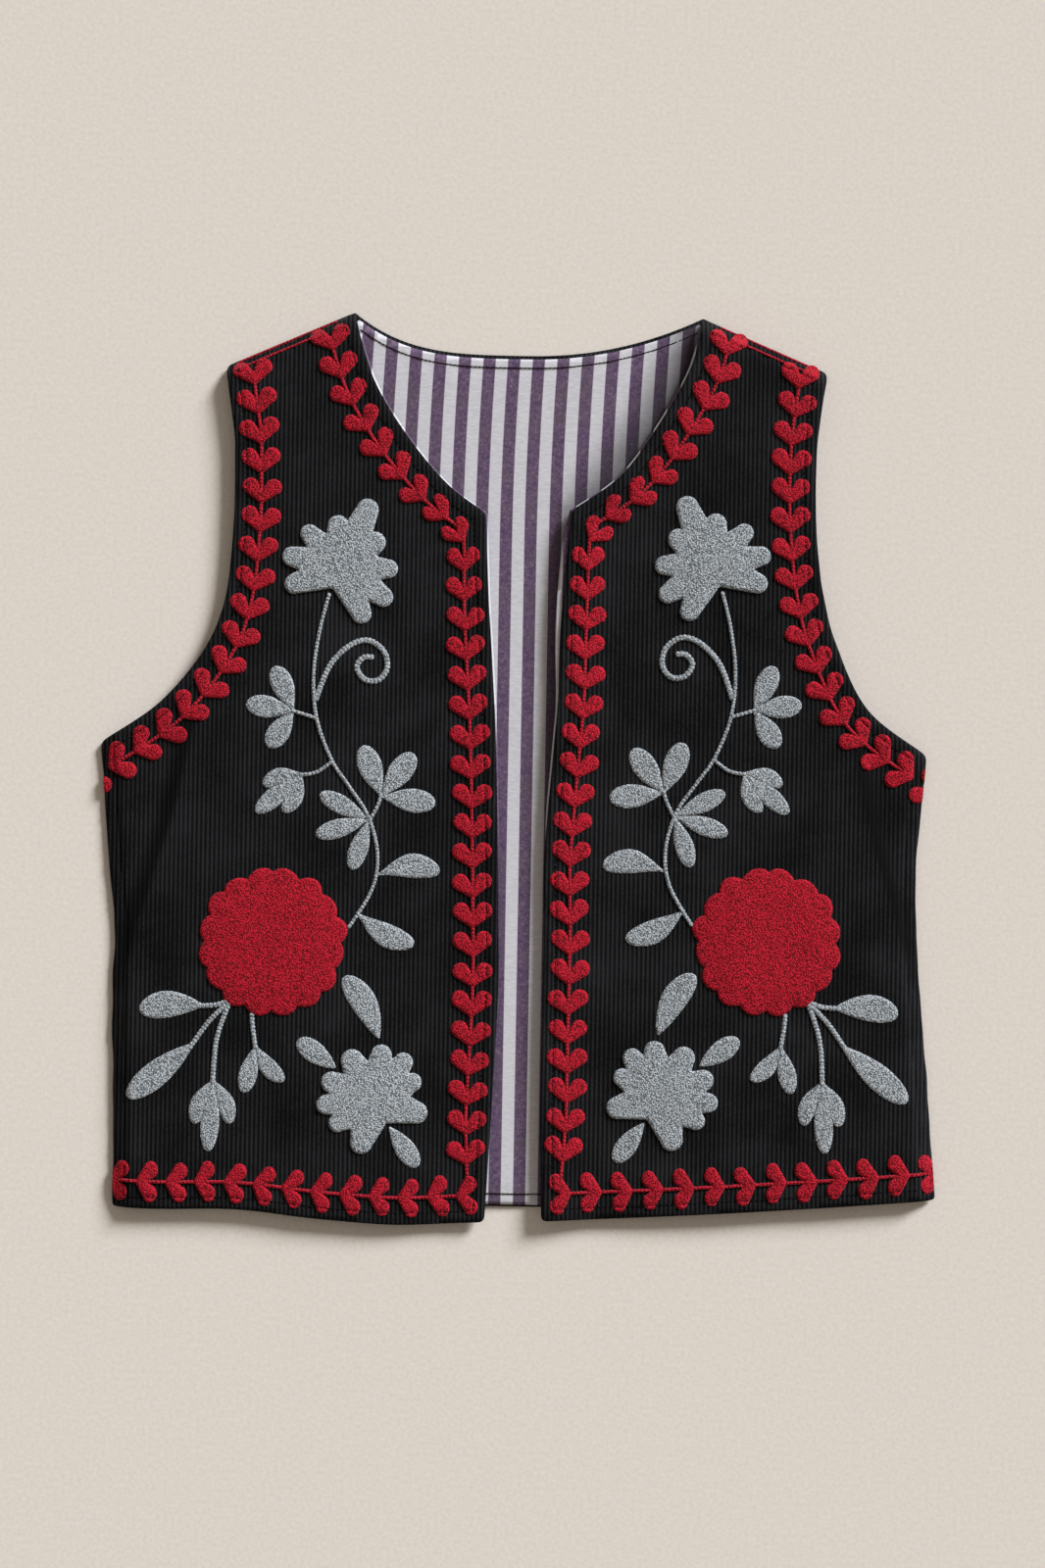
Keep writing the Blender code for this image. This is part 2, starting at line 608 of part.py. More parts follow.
def build_embroidery(name, side_name, outlines, rim, crown, lattice, material, group):
    """Outlines joined flat, laid on the front's cloth and raised by the yarn's height."""
    clip = front_clip(side_name)
    points, faces = [], []
    for outline in [clip] + outlines:
        faces.append(list(range(len(points), len(points) + len(outline))))
        points.extend(anticlockwise(outline))
    if lattice:
        motif = [p for outline in outlines for p in outline]
        low_x, high_x = min(p.x for p in motif), max(p.x for p in motif)
        low_y, high_y = min(p.y for p in motif), max(p.y for p in motif)
        for row in range(1, int((high_y - low_y) / lattice) + 1):
            for column in range(1, int((high_x - low_x) / lattice) + 1):
                shift = lattice / 2.0 if row % 2 else 0.0
                points.append(Vector((low_x + column * lattice - shift, low_y + row * lattice)))
    places, _, cells, _, _, sources = delaunay_2d_cdt(points, [], faces, 1, 0.01)

    bm = bmesh.new()
    verts = [bm.verts.new((p.x, p.y, 0.0)) for p in places]
    for cell, source in zip(cells, sources):
        if 0 in source and len(source) > 1:
            bm.faces.new([verts[i] for i in cell])
    bmesh.ops.delete(bm, geom=[v for v in bm.verts if not v.link_faces], context="VERTS")
    if not lattice:
        bmesh.ops.dissolve_limit(bm, angle_limit=0.02, verts=bm.verts, edges=bm.edges)
        bmesh.ops.triangulate(bm, faces=bm.faces)

    lay_on_cloth(bm, SIDES[side_name]["tree"])
    rim_places = {(round(v.co.x, 3), round(v.co.y, 3)) for v in bm.verts if v.is_boundary}
    raised = bmesh.ops.extrude_face_region(bm, geom=list(bm.faces))
    for vert in [item for item in raised["geom"] if isinstance(item, bmesh.types.BMVert)]:
        on_rim = (round(vert.co.x, 3), round(vert.co.y, 3)) in rim_places
        vert.co.z += rim if on_rim else crown
    bmesh.ops.recalc_face_normals(bm, faces=bm.faces)
    add_object(f"{name}_{side_name}", bm, material, group)


def prepare_sides():
    for side in SIDES.values():
        side["side_seam"] = edge_run(side, "outer", 0, ARMPIT, 3)
        side["shoulder_seam"] = [panel_point(side, 0.0, SHOULDER), panel_point(side, 1.0, SHOULDER)]


def build_vines(side_name, materials, group):
    runs = vine_runs(side_name)
    for first, second in (("neck", "front"), ("front", "hem")):
        corner = meeting_point(runs[first], runs[second])
        runs[first][-1] = corner
        runs[second][0] = corner.copy()
    yarn = YARN_HEIGHT["heart"]
    red = materials["red yarn"]
    outlines = vine_outlines(runs["neck"] + runs["front"][1:], *NECK_AND_FRONT_HEARTS)
    outlines += vine_outlines(runs["hem"], *HEM_HEARTS)
    build_embroidery("front_vine", side_name, outlines, yarn, yarn, 0.0, red, group)
    outlines = vine_outlines(runs["armhole"], *ARMHOLE_HEARTS)
    build_embroidery("armhole_vine", side_name, outlines, yarn, yarn, 0.0, red, group)


def build_sprays(side_name, materials, group):
    grey = materials["grey yarn"]
    leaf = YARN_HEIGHT["leaf"]
    sprays = {
        "stem_spray": ([MAIN_STEM, TENDRIL] + list(STEM_LINKS), STEM_LEAVES),
        "root_spray": (ROOT_STEMS, ROOT_LEAVES),
        "small_sprig": (SPRIG_STEMS, SPRIG_LEAVES),
        "drop_leaf": ((), (DROP_LEAF,)),
        "upper_leaf": ((), (UPPER_LEAF,)),
        "lower_leaf": ((), (LOWER_LEAF,)),
    }
    for name, (stems, leaves) in sprays.items():
        outlines = [ribbon_outline(curve_points(stem, 3), STEM_WIDTH) for stem in stems]
        outlines += [leaf_outline(*row) for row in leaves]
        placed = [place_outline(side_name, outline) for outline in outlines]
        build_embroidery(name, side_name, placed, leaf, leaf, 0.0, grey, group)


def build_flowers(side_name, materials, group):
    rim, crown = YARN_HEIGHT["flower_rim"], YARN_HEIGHT["flower_crown"]
    flowers = {
        "rosette": ([rosette_outline()], materials["red yarn"]),
        "fan_flower": (flower_outlines(FAN_FLOWER), materials["grey yarn"]),
        "round_flower": (flower_outlines(ROUND_FLOWER), materials["grey yarn"]),
    }
    for name, (outlines, yarn) in flowers.items():
        placed = [place_outline(side_name, outline) for outline in outlines]
        build_embroidery(name, side_name, placed, rim, crown, FLOWER_LATTICE, yarn, group)


def build_waistcoat():
    clear_scene()
    group = make_collection()
    materials = make_materials()
    prepare_sides()
    shell_insets = {"side": BACK_INSET, "armhole": BACK_INSET, "neck": 0.0, "hem": 0.0, "shoulder": 1.0}
    lining_insets = dict(BACK_LINING_INSET, shoulder=20.0)
    build_flat("back_shell", back_outline(shell_insets), 0.0, SHELL_THICKNESS,
               materials["black corduroy"], group)
    build_flat("back_lining", back_outline(lining_insets), BACK_LINING_FLOOR, LINING_THICKNESS,
               materials["striped chambray"], group)
    for side_name, side in SIDES.items():
        side["tree"] = build_front(side_name, materials["black corduroy"], group)
        build_front_lining(side_name, materials["striped chambray"], group)
        build_vines(side_name, materials, group)
        build_flowers(side_name, materials, group)
        build_sprays(side_name, materials, group)


build_waistcoat()
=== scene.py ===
import math
import random

import bmesh
import bpy
from mathutils import Matrix, Vector, kdtree, noise


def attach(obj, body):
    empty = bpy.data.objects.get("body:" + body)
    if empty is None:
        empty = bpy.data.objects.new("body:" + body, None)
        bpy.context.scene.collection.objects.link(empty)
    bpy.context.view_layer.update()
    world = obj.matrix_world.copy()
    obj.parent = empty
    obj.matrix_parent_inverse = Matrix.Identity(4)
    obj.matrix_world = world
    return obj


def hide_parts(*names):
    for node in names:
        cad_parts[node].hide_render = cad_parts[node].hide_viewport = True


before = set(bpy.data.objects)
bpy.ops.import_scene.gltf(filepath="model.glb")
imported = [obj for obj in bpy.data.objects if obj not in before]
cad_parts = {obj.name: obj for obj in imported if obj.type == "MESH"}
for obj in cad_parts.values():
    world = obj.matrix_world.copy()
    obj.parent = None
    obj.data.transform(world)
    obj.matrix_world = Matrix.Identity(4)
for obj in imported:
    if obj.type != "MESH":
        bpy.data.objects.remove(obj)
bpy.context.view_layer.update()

# An embroidered waistcoat of black corduroy, laid flat and seen from straight above.
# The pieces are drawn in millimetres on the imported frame's axes and turned to metres at the end.
mm = 0.001
random.seed(7)

# Sizes shared by the cloth pieces: walls, the gap between two layers, a front's height above the floor and
# how far in from its seams it starts to come down
layers = {"shell": 1.6, "lining": 1.0, "gap": 0.3, "frontFloor": 4.5, "sideRoll": 12.0, "shoulderRoll": 6.5}
layers["seamFloor"] = layers["shell"] + layers["gap"]

# One row for each section of a front, hem to shoulder: outer x, outer y, inner x, inner y
sectionNames = ["hem", "skirt", "hip", "waist", "ribs", "armpit", "armholeFoot", "armholeLow",
                "armholeCurve", "neckCorner", "armholeMid", "armholeHigh", "neckHigh", "shoulder"]
leftSections = [
    (-243.2, -267.4, -17.8, -273.1), (-243.5, -212.3, -14.7, -208.3), (-245.3, -140.0, -11.8, -135.0),
    (-244.4, -102.0, -12.2, -95.0), (-249.0, -55.0, -13.3, -51.0), (-254.8, 13.7, -15.6, 16.2),
    (-218.3, 39.2, -17.5, 48.0), (-191.5, 73.3, -19.6, 78.0), (-180.2, 105.5, -21.6, 104.9),
    (-176.4, 150.0, -24.1, 156.1), (-176.2, 175.0, -48.2, 173.7), (-176.9, 200.0, -73.6, 203.6),
    (-180.2, 223.0, -93.8, 237.1), (-182.6, 242.5, -105.6, 276.3),
]
rightSections = [
    (254.8, -255.1, 16.6, -271.8), (250.6, -206.0, 15.0, -208.0), (244.6, -140.0, 15.2, -135.0),
    (241.6, -105.4, 15.4, -95.0), (239.9, -56.2, 14.7, -51.0), (245.4, 13.7, 19.4, 16.5),
    (209.2, 40.3, 21.3, 43.0), (189.5, 78.9, 21.8, 79.6), (180.2, 112.0, 23.6, 110.0),
    (175.8, 150.0, 27.4, 158.2), (175.0, 178.0, 57.6, 180.4), (175.8, 202.9, 81.3, 214.1),
    (178.3, 225.2, 98.2, 246.0), (180.9, 244.3, 105.4, 276.0),
]
armpit = sectionNames.index("armpit")
neckCorner = sectionNames.index("neckCorner")
shoulder = sectionNames.index("shoulder")
# hemWaves: share of the way in from the side seam, spread, and how far the hem is lifted there
sides = {
    "left": {"sign": -1, "sections": leftSections, "hemSag": 3.0, "edgeLift": [(-60.0, 0.5), (60.0, 1.2)],
             "cornerShift": 2.0, "hemWaves": [(0.33, 0.18, 4.2), (0.77, 0.13, -1.6)]},
    "right": {"sign": 1, "sections": rightSections, "hemSag": 1.2, "edgeLift": [(-60.0, 3.2), (60.0, 6.0)],
              "cornerShift": 3.6, "hemWaves": []},
}

# Drape of the fronts: the crest below the armhole, the swell over the chest and soft folds
drape = {
    # the crest's distance from the centre at heights from the armhole down
    "crest": [(196.0, 30.0), (209.0, -30.0), (218.0, -60.0), (226.0, -86.0), (237.0, -125.0),
              (249.0, -155.0)],
    "swell": 2.3, "swellStart": 22.0, "swellRun": 110.0,
    "fall": 2.6, "fallRun": 13.0, "fallAbove": 20.0, "fallFade": 50.0,
    # side, out from the centre, low y, high y, half width, height
    "folds": [("left", 136.0, -262.0, -150.0, 16.0, 0.55), ("left", 206.0, -70.0, 60.0, 18.0, 0.5),
              ("right", 150.0, 40.0, 170.0, 15.0, 0.55), ("right", 134.0, -150.0, -60.0, 14.0, 0.45),
              ("right", 196.0, -240.0, -150.0, 20.0, 0.5)],
    "ripple": 0.5, "rippleSize": 46.0, "rippleStart": 14.0, "rippleRun": 30.0,
    "edgeLiftRun": 40.0, "sideWave": 0.9, "sideWaveSize": 19.0,
}
# Painted shade in a dark band outside the crest: how strong, how quickly it starts, how wide, and where it
# fades out
foldShadeBand = {"depth": 0.85, "start": 4.0, "width": 11.0, "above": 22.0, "fadeAbove": 30.0, "lowest": -170.0,
            "fadeBelow": 90.0}

corduroy = {"wale": 2.7, "waleHeight": 0.5, "waleFade": 1.2, "rowStep": 4.5,
            "edgeRings": (0.45, 0.9, 4.9, 0.95, 0.9),
            "edgePuff": 0.4, "rimDrop": 0.8, "rimWidth": 1.4, "stitchIn": 7.2, "stitchDent": 0.5,
            "stitchDentWidth": 1.4, "thickness": 1.05}
liningCloth = {"step": 4.0, "edgeRings": (0.3, 1.2), "thickness": 0.5, "stitchIn": 6.2}
# A white and a purple stripe together, and where and how strongly they bend near the neck
stripes = {"pitch": 14.9, "bendFrom": 135.0, "bend": 0.25}


def smooth(value):
    value = min(max(value, 0.0), 1.0)
    return value * value * (3.0 - 2.0 * value)


def through(points, station):
    last = len(points) - 1
    index = min(int(station), last - 1)
    part = station - index
    a = points[max(index - 1, 0)]
    b, c = points[index], points[index + 1]
    d = points[min(index + 2, last)]
    square, cube = part * part, part * part * part
    return 0.5 * ((2.0 * b) + (c - a) * part + (2.0 * a - 5.0 * b + 4.0 * c - d) * square
                  + (3.0 * b - a - 3.0 * c + d) * cube)


def curvePoints(points, steps):
    points = [Vector(p) for p in points]
    return [through(points, i / steps) for i in range((len(points) - 1) * steps + 1)]


def edgePoint(sections, edge, station):
    column, corner = (0, armpit) if edge == "outer" else (2, neckCorner)
    points = [Vector((row[column], row[column + 1])) for row in sections]
    if station <= corner:
        return through(points[:corner + 1], station)
    return through(points[corner:], station - corner)


def panelPoint(side, share, station):
    outer = edgePoint(side["sections"], "outer", station)
    inner = edgePoint(side["sections"], "inner", station)
    point = outer.lerp(inner, share)
    sag = side["hemSag"] * 4.0 * share * (1.0 - share)
    for middle, spread, lift in side["hemWaves"]:
        sag -= lift * math.exp(-((share - middle) / spread) ** 2)
    point.y -= sag * smooth(1.0 - station)
    return point


def edgeRun(side, edge, first, last, steps):
    count = abs(last - first) * steps
    direction = 1 if last > first else -1
    return [edgePoint(side["sections"], edge, first + direction * i / steps) for i in range(count + 1)]


def distanceToRun(x, y, run):
    nearest = 1e9
    for (ax, ay, sx, sy, squared) in run:
        share = min(max(((x - ax) * sx + (y - ay) * sy) / squared, 0.0), 1.0)
        nearest = min(nearest, math.hypot(x - ax - sx * share, y - ay - sy * share))
    return nearest


def spans(points):
    return [(a.x, a.y, b.x - a.x, b.y - a.y, (b - a).length_squared) for a, b in zip(points, points[1:])]


for side in sides.values():
    side["sideSeam"] = edgeRun(side, "outer", 0, armpit, 3)
    side["shoulderSeam"] = [panelPoint(side, 0.0, shoulder), panelPoint(side, 1.0, shoulder)]
    side["sideSpans"] = spans(side["sideSeam"])
    side["shoulderSpans"] = spans(side["shoulderSeam"])
    side["innerSpans"] = spans(edgeRun(side, "inner", 0, shoulder, 1))


def crestFromCentre(height):
    crest = drape["crest"]
    if height >= crest[0][1]:
        return crest[0][0]
    for (x0, y0), (x1, y1) in zip(crest, crest[1:]):
        if height >= y1:
            return x0 + (x1 - x0) * (y0 - height) / (y0 - y1)
    return crest[-1][0]


def frontHeight(sideName, x, y):
    # underside of a front above the floor
    side = sides[sideName]
    out = abs(x)
    lift = drape["swell"] * smooth((out - drape["swellStart"]) / drape["swellRun"])
    belowArmhole = smooth((drape["crest"][0][1] + drape["fallAbove"] - y) / drape["fallFade"])
    lift -= drape["fall"] * smooth((out - crestFromCentre(y)) / drape["fallRun"]) * belowArmhole
    for name, fromCentre, low, high, halfWidth, height in drape["folds"]:
        across = abs(out - fromCentre) / halfWidth
        if name == sideName and across < 1.0:
            along = smooth(1.4 * (1.0 - abs(y - (low + high) / 2.0) / ((high - low) / 2.0)))
            lift += height * math.cos(across * math.pi / 2.0) ** 2 * along
    (lowY, lowLift), (highY, highLift) = side["edgeLift"]
    edgeLift = lowLift + (highLift - lowLift) * smooth((y - lowY) / (highY - lowY))
    lift += edgeLift * (1.0 - smooth(distanceToRun(x, y, side["innerSpans"]) / drape["edgeLiftRun"]))
    spot = Vector((x, y * 0.6, side["sign"] * 50.0)) / drape["rippleSize"]
    lift += drape["ripple"] * noise.noise(spot) * smooth((out - drape["rippleStart"]) / drape["rippleRun"])
    roll = min(distanceToRun(x, y, side["sideSpans"]) / layers["sideRoll"],
               distanceToRun(x, y, side["shoulderSpans"]) / layers["shoulderRoll"])
    seam = layers["seamFloor"]
    return seam + (layers["frontFloor"] + lift - seam) * smooth(roll)


def clothTop(sideName, x, y):
    return frontHeight(sideName, x, y) + layers["shell"]


# Materials

def linear(hexColour):
    parts = [int(hexColour[i:i + 2], 16) / 255.0 for i in (1, 3, 5)]
    return tuple(c / 12.92 if c <= 0.04045 else ((c + 0.055) / 1.055) ** 2.4 for c in parts) + (1.0,)


def addNode(tree, kind, settings=None, links=None):
    node = tree.nodes.new(kind)
    for key, value in (settings or {}).items():
        if isinstance(key, str) and hasattr(node, key):
            setattr(node, key, value)
        else:
            node.inputs[key].default_value = value
    for socket, source in (links or {}).items():
        tree.links.new(source, node.inputs[socket])
    return node


def newMaterial(name):
    # the material, its tree and shader, and the piece's own coordinates
    material = bpy.data.materials.new(name)
    material.use_nodes = True
    tree = material.node_tree
    place = addNode(tree, "ShaderNodeTexCoord").outputs["Object"]
    return material, tree, tree.nodes["Principled BSDF"], place


def mathNode(tree, operation, *terms):
    # each term is a number or another node's output
    node = addNode(tree, "ShaderNodeMath", {"operation": operation})
    for i, term in enumerate(terms):
        if isinstance(term, float):
            node.inputs[i].default_value = term
        else:
            tree.links.new(term, node.inputs[i])
    return node.outputs[0]


def noiseNode(tree, place, settings, stretch=None):
    # a stretch under 1 draws the pattern out along that axis
    if stretch:
        place = addNode(tree, "ShaderNodeMapping", {"Scale": stretch}, {"Vector": place}).outputs[0]
    return addNode(tree, "ShaderNodeTexNoise", settings, {"Vector": place})


def rampNode(tree, source, stops):
    ramp = addNode(tree, "ShaderNodeValToRGB", links={"Fac": source})
    while len(ramp.color_ramp.elements) < len(stops):
        ramp.color_ramp.elements.new(0.5)
    for element, (place, colour) in zip(ramp.color_ramp.elements, stops):
        element.position = place
        element.color = linear(colour)
    return ramp.outputs["Color"]


def bandNode(tree, source, low, high, most):
    # 0 up to low, rising to most at high
    limits = {"From Min": low, "From Max": high, "To Min": 0.0, "To Max": most}
    return addNode(tree, "ShaderNodeMapRange", limits, {"Value": source}).outputs[0]


def mixNode(tree, share, first, second):
    # second is another node's output or a hex colour
    node = addNode(tree, "ShaderNodeMix", {"data_type": "RGBA"}, {"Factor": share, "A": first})
    if isinstance(second, str):
        node.inputs["B"].default_value = linear(second)
    else:
        tree.links.new(second, node.inputs["B"])
    return node.outputs["Result"]


def paintedShadeNode(tree):
    # the piece's own attribute of painted shade, 1 where it is full: outside a front's crest, where the cloth
    # turns from the light, and on the back lining in the lifted right front's shadow
    return addNode(tree, "ShaderNodeAttribute", {"attribute_name": "paintedShade"}).outputs["Fac"]


def dressShader(tree, shader, colour, numbers, relief=None, strength=1.0, depth=0.0):
    # the bump's depth is in metres; the numbers go on the shader's own sockets
    tree.links.new(colour, shader.inputs["Base Color"])
    if relief is not None:
        bump = addNode(tree, "ShaderNodeBump", {"Strength": strength, "Distance": depth}, {"Height": relief})
        tree.links.new(bump.outputs["Normal"], shader.inputs["Normal"])
    for socket, value in numbers.items():
        shader.inputs[socket].default_value = value


def corduroyMaterial():
    # Cotton corduroy, cut pile: near black and dull; the faint bloom on the pile tips is partly sheen and
    # partly painted highlight
    material, tree, shader, place = newMaterial("corduroyCottonCutPile")
    split = addNode(tree, "ShaderNodeSeparateXYZ", links={0: place})
    # wales run along Y, one every 2.7 mm; their tops are painted lighter and their grooves darker, as painted
    # highlight and painted shade
    turn = mathNode(tree, "MULTIPLY", split.outputs["X"], 2.0 * math.pi / (corduroy["wale"] * mm))
    paintedWaleLight = mathNode(tree, "MULTIPLY_ADD", mathNode(tree, "COSINE", turn), 0.5, 0.5)
    # pile tufts about 1 mm across, nearly twice as long along the wale, and patches rubbed a little lighter
    tufts = noiseNode(tree, place, {"Scale": 950.0, "Detail": 3.0, "Roughness": 0.75}, (1.0, 0.55, 1.0))
    rubbed = noiseNode(tree, place, {"Scale": 22.0, "Detail": 4.0, "Roughness": 0.6})
    tuftsAndPaintedWaleLight = mathNode(tree, "MULTIPLY", paintedWaleLight, tufts.outputs["Fac"])
    toneAndPaintedLight = mathNode(tree, "MULTIPLY_ADD", tuftsAndPaintedWaleLight, 0.9, rubbed.outputs["Fac"])
    black = rampNode(tree, toneAndPaintedLight, [(0.3, "#000000"), (0.62, "#060607"), (1.0, "#242426")])
    # painted shade: darker where the cloth turns away from the light
    colour = mixNode(tree, paintedShadeNode(tree), black, "#020202")
    dressShader(tree, shader, colour, {"Roughness": 0.92, "Specular IOR Level": 0.12, "Sheen Weight": 0.03,
                                       "Sheen Roughness": 0.45}, tufts.outputs["Fac"], 0.8, 0.0005)
    return material


def chambrayMaterial(name, whiteAt):
    # Yarn-dyed cotton chambray: plain weave, white stripes beside purple-grey ones with blue and brown flecks
    material, tree, shader, place = newMaterial(name)
    split = addNode(tree, "ShaderNodeSeparateXYZ", links={0: place})
    # the stripes bend to the right near the neck; whiteAt is X of a white one's middle
    above = mathNode(tree, "SUBTRACT", split.outputs["Y"], stripes["bendFrom"] * mm)
    rising = mathNode(tree, "MAXIMUM", above, 0.0)
    square = mathNode(tree, "MULTIPLY", rising, rising)
    lean = mathNode(tree, "MULTIPLY_ADD", square, -stripes["bend"], split.outputs["X"])
    turn = mathNode(tree, "MULTIPLY_ADD", lean, 2.0 * math.pi / (stripes["pitch"] * mm),
                    -2.0 * math.pi * whiteAt / stripes["pitch"])
    stripe = bandNode(tree, mathNode(tree, "COSINE", turn), -0.09, 0.09, 1.0)
    # weft threads that show as streaks about 1 mm high and 4 mm long
    slubs = noiseNode(tree, place, {"Scale": 900.0, "Detail": 2.0}, (0.3, 1.0, 1.0))
    flecks = noiseNode(tree, place, {"Scale": 560.0, "Detail": 3.0, "Roughness": 0.75})
    bands = noiseNode(tree, place, {"Scale": 60.0, "Detail": 3.0}, (0.35, 1.0, 1.0))
    purple = rampNode(tree, flecks.outputs["Fac"], [(0.3, "#3a2e48"), (0.5, "#5b4762"), (0.62, "#6a5668"),
                                                    (0.74, "#89798c")])
    warm = mixNode(tree, bandNode(tree, bands.outputs["Fac"], 0.45, 0.75, 0.4), purple, "#5d5450")
    white = rampNode(tree, slubs.outputs["Fac"], [(0.25, "#bbb8bd"), (0.55, "#c6c3c8"), (0.8, "#d0cdd0")])
    # painted shadow: darker where the cloth dips under the lifted front, in its shade
    colour = mixNode(tree, paintedShadeNode(tree), mixNode(tree, stripe, warm, white), "#0b0a0b")
    dressShader(tree, shader, colour, {"Roughness": 0.8, "Specular IOR Level": 0.3},
                slubs.outputs["Fac"], 0.25, 0.0003)
    return material


def yarnMaterial(name, loopShadeToHighlight, loop):
    # Chenille and moss stitch in wool yarn: small soft loops, with painted shade in the gaps between them and
    # painted highlight on their tops
    material, tree, shader, place = newMaterial(name)
    bend = noiseNode(tree, place, {"Scale": 300.0, "Detail": 2.0})
    shift = addNode(tree, "ShaderNodeMix", {"data_type": "VECTOR", "Factor": 0.0012},
                    {"A": place, "B": bend.outputs["Color"]})
    loops = addNode(tree, "ShaderNodeTexVoronoi", {"Scale": 1.0 / (loop * mm), "Randomness": 1.0},
                    {"Vector": shift.outputs["Result"]})
    fibres = noiseNode(tree, place, {"Scale": 1500.0, "Detail": 3.0})
    height = mathNode(tree, "SUBTRACT", 1.0, loops.outputs["Distance"])
    toneAndPaintedLight = mathNode(tree, "MULTIPLY_ADD", fibres.outputs["Fac"], 0.5, height)
    # painted light: the darkest colour is painted shade in the gaps, the lightest painted highlight on the
    # loop tops
    colour = rampNode(tree, toneAndPaintedLight, [(0.55, loopShadeToHighlight[0]), (0.85, loopShadeToHighlight[1]), (1.15, loopShadeToHighlight[2])])
    dressShader(tree, shader, colour, {"Roughness": 0.85, "Specular IOR Level": 0.2, "Sheen Weight": 0.05},
                toneAndPaintedLight, 0.8, 0.0007)
    return material


def threadMaterial():
    # Black polyester sewing thread, spun and matt, so the stitches stay dark on the cloth
    material, tree, shader, place = newMaterial("sewingThreadPolyester")
    twist = noiseNode(tree, place, {"Scale": 2500.0})
    colour = rampNode(tree, twist.outputs["Fac"], [(0.3, "#030304"), (0.7, "#0c0c0e")])
    dressShader(tree, shader, colour, {"Roughness": 0.8, "Specular IOR Level": 0.1})
    return material


def paperMaterial():
    # Warm beige backdrop paper, matt, with a faint tooth
    material, tree, shader, place = newMaterial("backdropPaper")
    tooth = noiseNode(tree, place, {"Scale": 420.0, "Detail": 3.0})
    colour = rampNode(tree, tooth.outputs["Fac"], [(0.3, "#d6ccc2"), (0.7, "#dfd6cc")])
    dressShader(tree, shader, colour, {"Roughness": 0.95, "Specular IOR Level": 0.1},
                tooth.outputs["Fac"], 0.12, 0.0003)
    return material


materials = {
    "corduroy": corduroyMaterial(),
    "lining": chambrayMaterial("chambrayYarnDyedStripe", -4.4),
    "rightLining": chambrayMaterial("chambrayYarnDyedStripeRight", 4.1),
    "red": yarnMaterial("crimsonWoolChenille", ("#64000a", "#ac031e", "#d81c38"), 0.95),
    "grey": yarnMaterial("silverGreyWoolChenille", ("#63686b", "#9ba0a4", "#cfd3d6"), 0.95),
    "redLine": yarnMaterial("crimsonWoolChainStitch", ("#7a0314", "#ab0a22", "#c4263c"), 1.0),
    "greyLine": yarnMaterial("silverGreyWoolChainStitch", ("#6f7477", "#9ba0a4", "#bec2c5"), 1.0),
    "thread": threadMaterial(),
    "paper": paperMaterial(),
}
print("materials ready")


# Mesh helpers

def toMesh(bm, name):
    mesh = bpy.data.meshes.new(name)
    bm.to_mesh(mesh)
    bm.free()
    return mesh


def finishPiece(name, bm, material, nodes=(), recalc=False):
    bmesh.ops.scale(bm, vec=(mm, mm, mm), verts=bm.verts)
    if recalc:
        bmesh.ops.recalc_face_normals(bm, faces=bm.faces)
    mesh = toMesh(bm, name)
    mesh.materials.append(material)
    mesh.shade_smooth()
    piece = bpy.data.objects.new(name, mesh)
    bpy.context.scene.collection.objects.link(piece)
    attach(piece, "root")
    if nodes:
        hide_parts(*nodes)
    return piece


def signedArea(outline):
    return sum(a.cross(b) for a, b in zip(outline, outline[1:] + outline[:1])) / 2.0


def addWall(piece, thickness):
    # the cloth's thickness, grown downwards from the face that shows
    wall = piece.modifiers.new("wall", "SOLIDIFY")
    wall.thickness = thickness * mm
    wall.offset = -1.0


def outlineFace(bm, outline):
    ordered = outline if signedArea(outline) > 0.0 else outline[::-1]
    return bm.faces.new([bm.verts.new((p.x, p.y, 0.0)) for p in ordered])


def cutLattice(bm, stepX, stepY):
    lowX, highX = min(v.co.x for v in bm.verts), max(v.co.x for v in bm.verts)
    lowY, highY = min(v.co.y for v in bm.verts), max(v.co.y for v in bm.verts)
    for low, high, step, normal in ((lowX, highX, stepX, (1, 0, 0)), (lowY, highY, stepY, (0, 1, 0))):
        first = math.floor(low / step) + 1
        for i in range(first, math.ceil(high / step)):
            co = (i * step * normal[0], i * step * normal[1], 0.0)
            bmesh.ops.bisect_plane(bm, geom=bm.verts[:] + bm.edges[:] + bm.faces[:], dist=0.02,
                                   plane_co=co, plane_no=normal)


def outlineTree(outline, step=0.8):
    samples = []
    for a, b in zip(outline, outline[1:] + outline[:1]):
        count = max(1, int((b - a).length / step))
        samples += [a.lerp(b, i / count) for i in range(count)]
    tree = kdtree.KDTree(len(samples))
    for i, p in enumerate(samples):
        tree.insert((p.x, p.y, 0.0), i)
    tree.balance()
    return tree


def ringedSheet(outline, rings, stepX, stepY):
    # a flat sheet with rings of faces beside its edge and a lattice across it
    bm = bmesh.new()
    face = outlineFace(bm, outline)
    for width in rings:
        bmesh.ops.inset_region(bm, faces=[face], thickness=width, use_even_offset=True)
    cutLattice(bm, stepX, stepY)
    return bm


def closeBelow(bm):
    # a wall down from the open edge, with a face across its foot; gives back the wall's lower vertices
    raised = bmesh.ops.extrude_edge_only(bm, edges=[e for e in bm.edges if e.is_boundary])
    bmesh.ops.contextual_create(bm, geom=[e for e in bm.edges if e.is_boundary])
    return [g for g in raised["geom"] if isinstance(g, bmesh.types.BMVert)]


def resample(points, step, closed=False):
    run = points + points[:1] if closed else points
    made, carried = [run[0].copy()], 0.0
    for a, b in zip(run, run[1:]):
        length = (b - a).length
        if length < 1e-6:
            continue
        position = step - carried
        while position <= length:
            made.append(a.lerp(b, position / length))
            position += step
        carried = (carried + length) % step
    if closed and (made[-1] - run[-1]).length < step * 0.4:
        made.pop()
    return made


def runLength(run):
    return sum((b - a).length for a, b in zip(run, run[1:]))


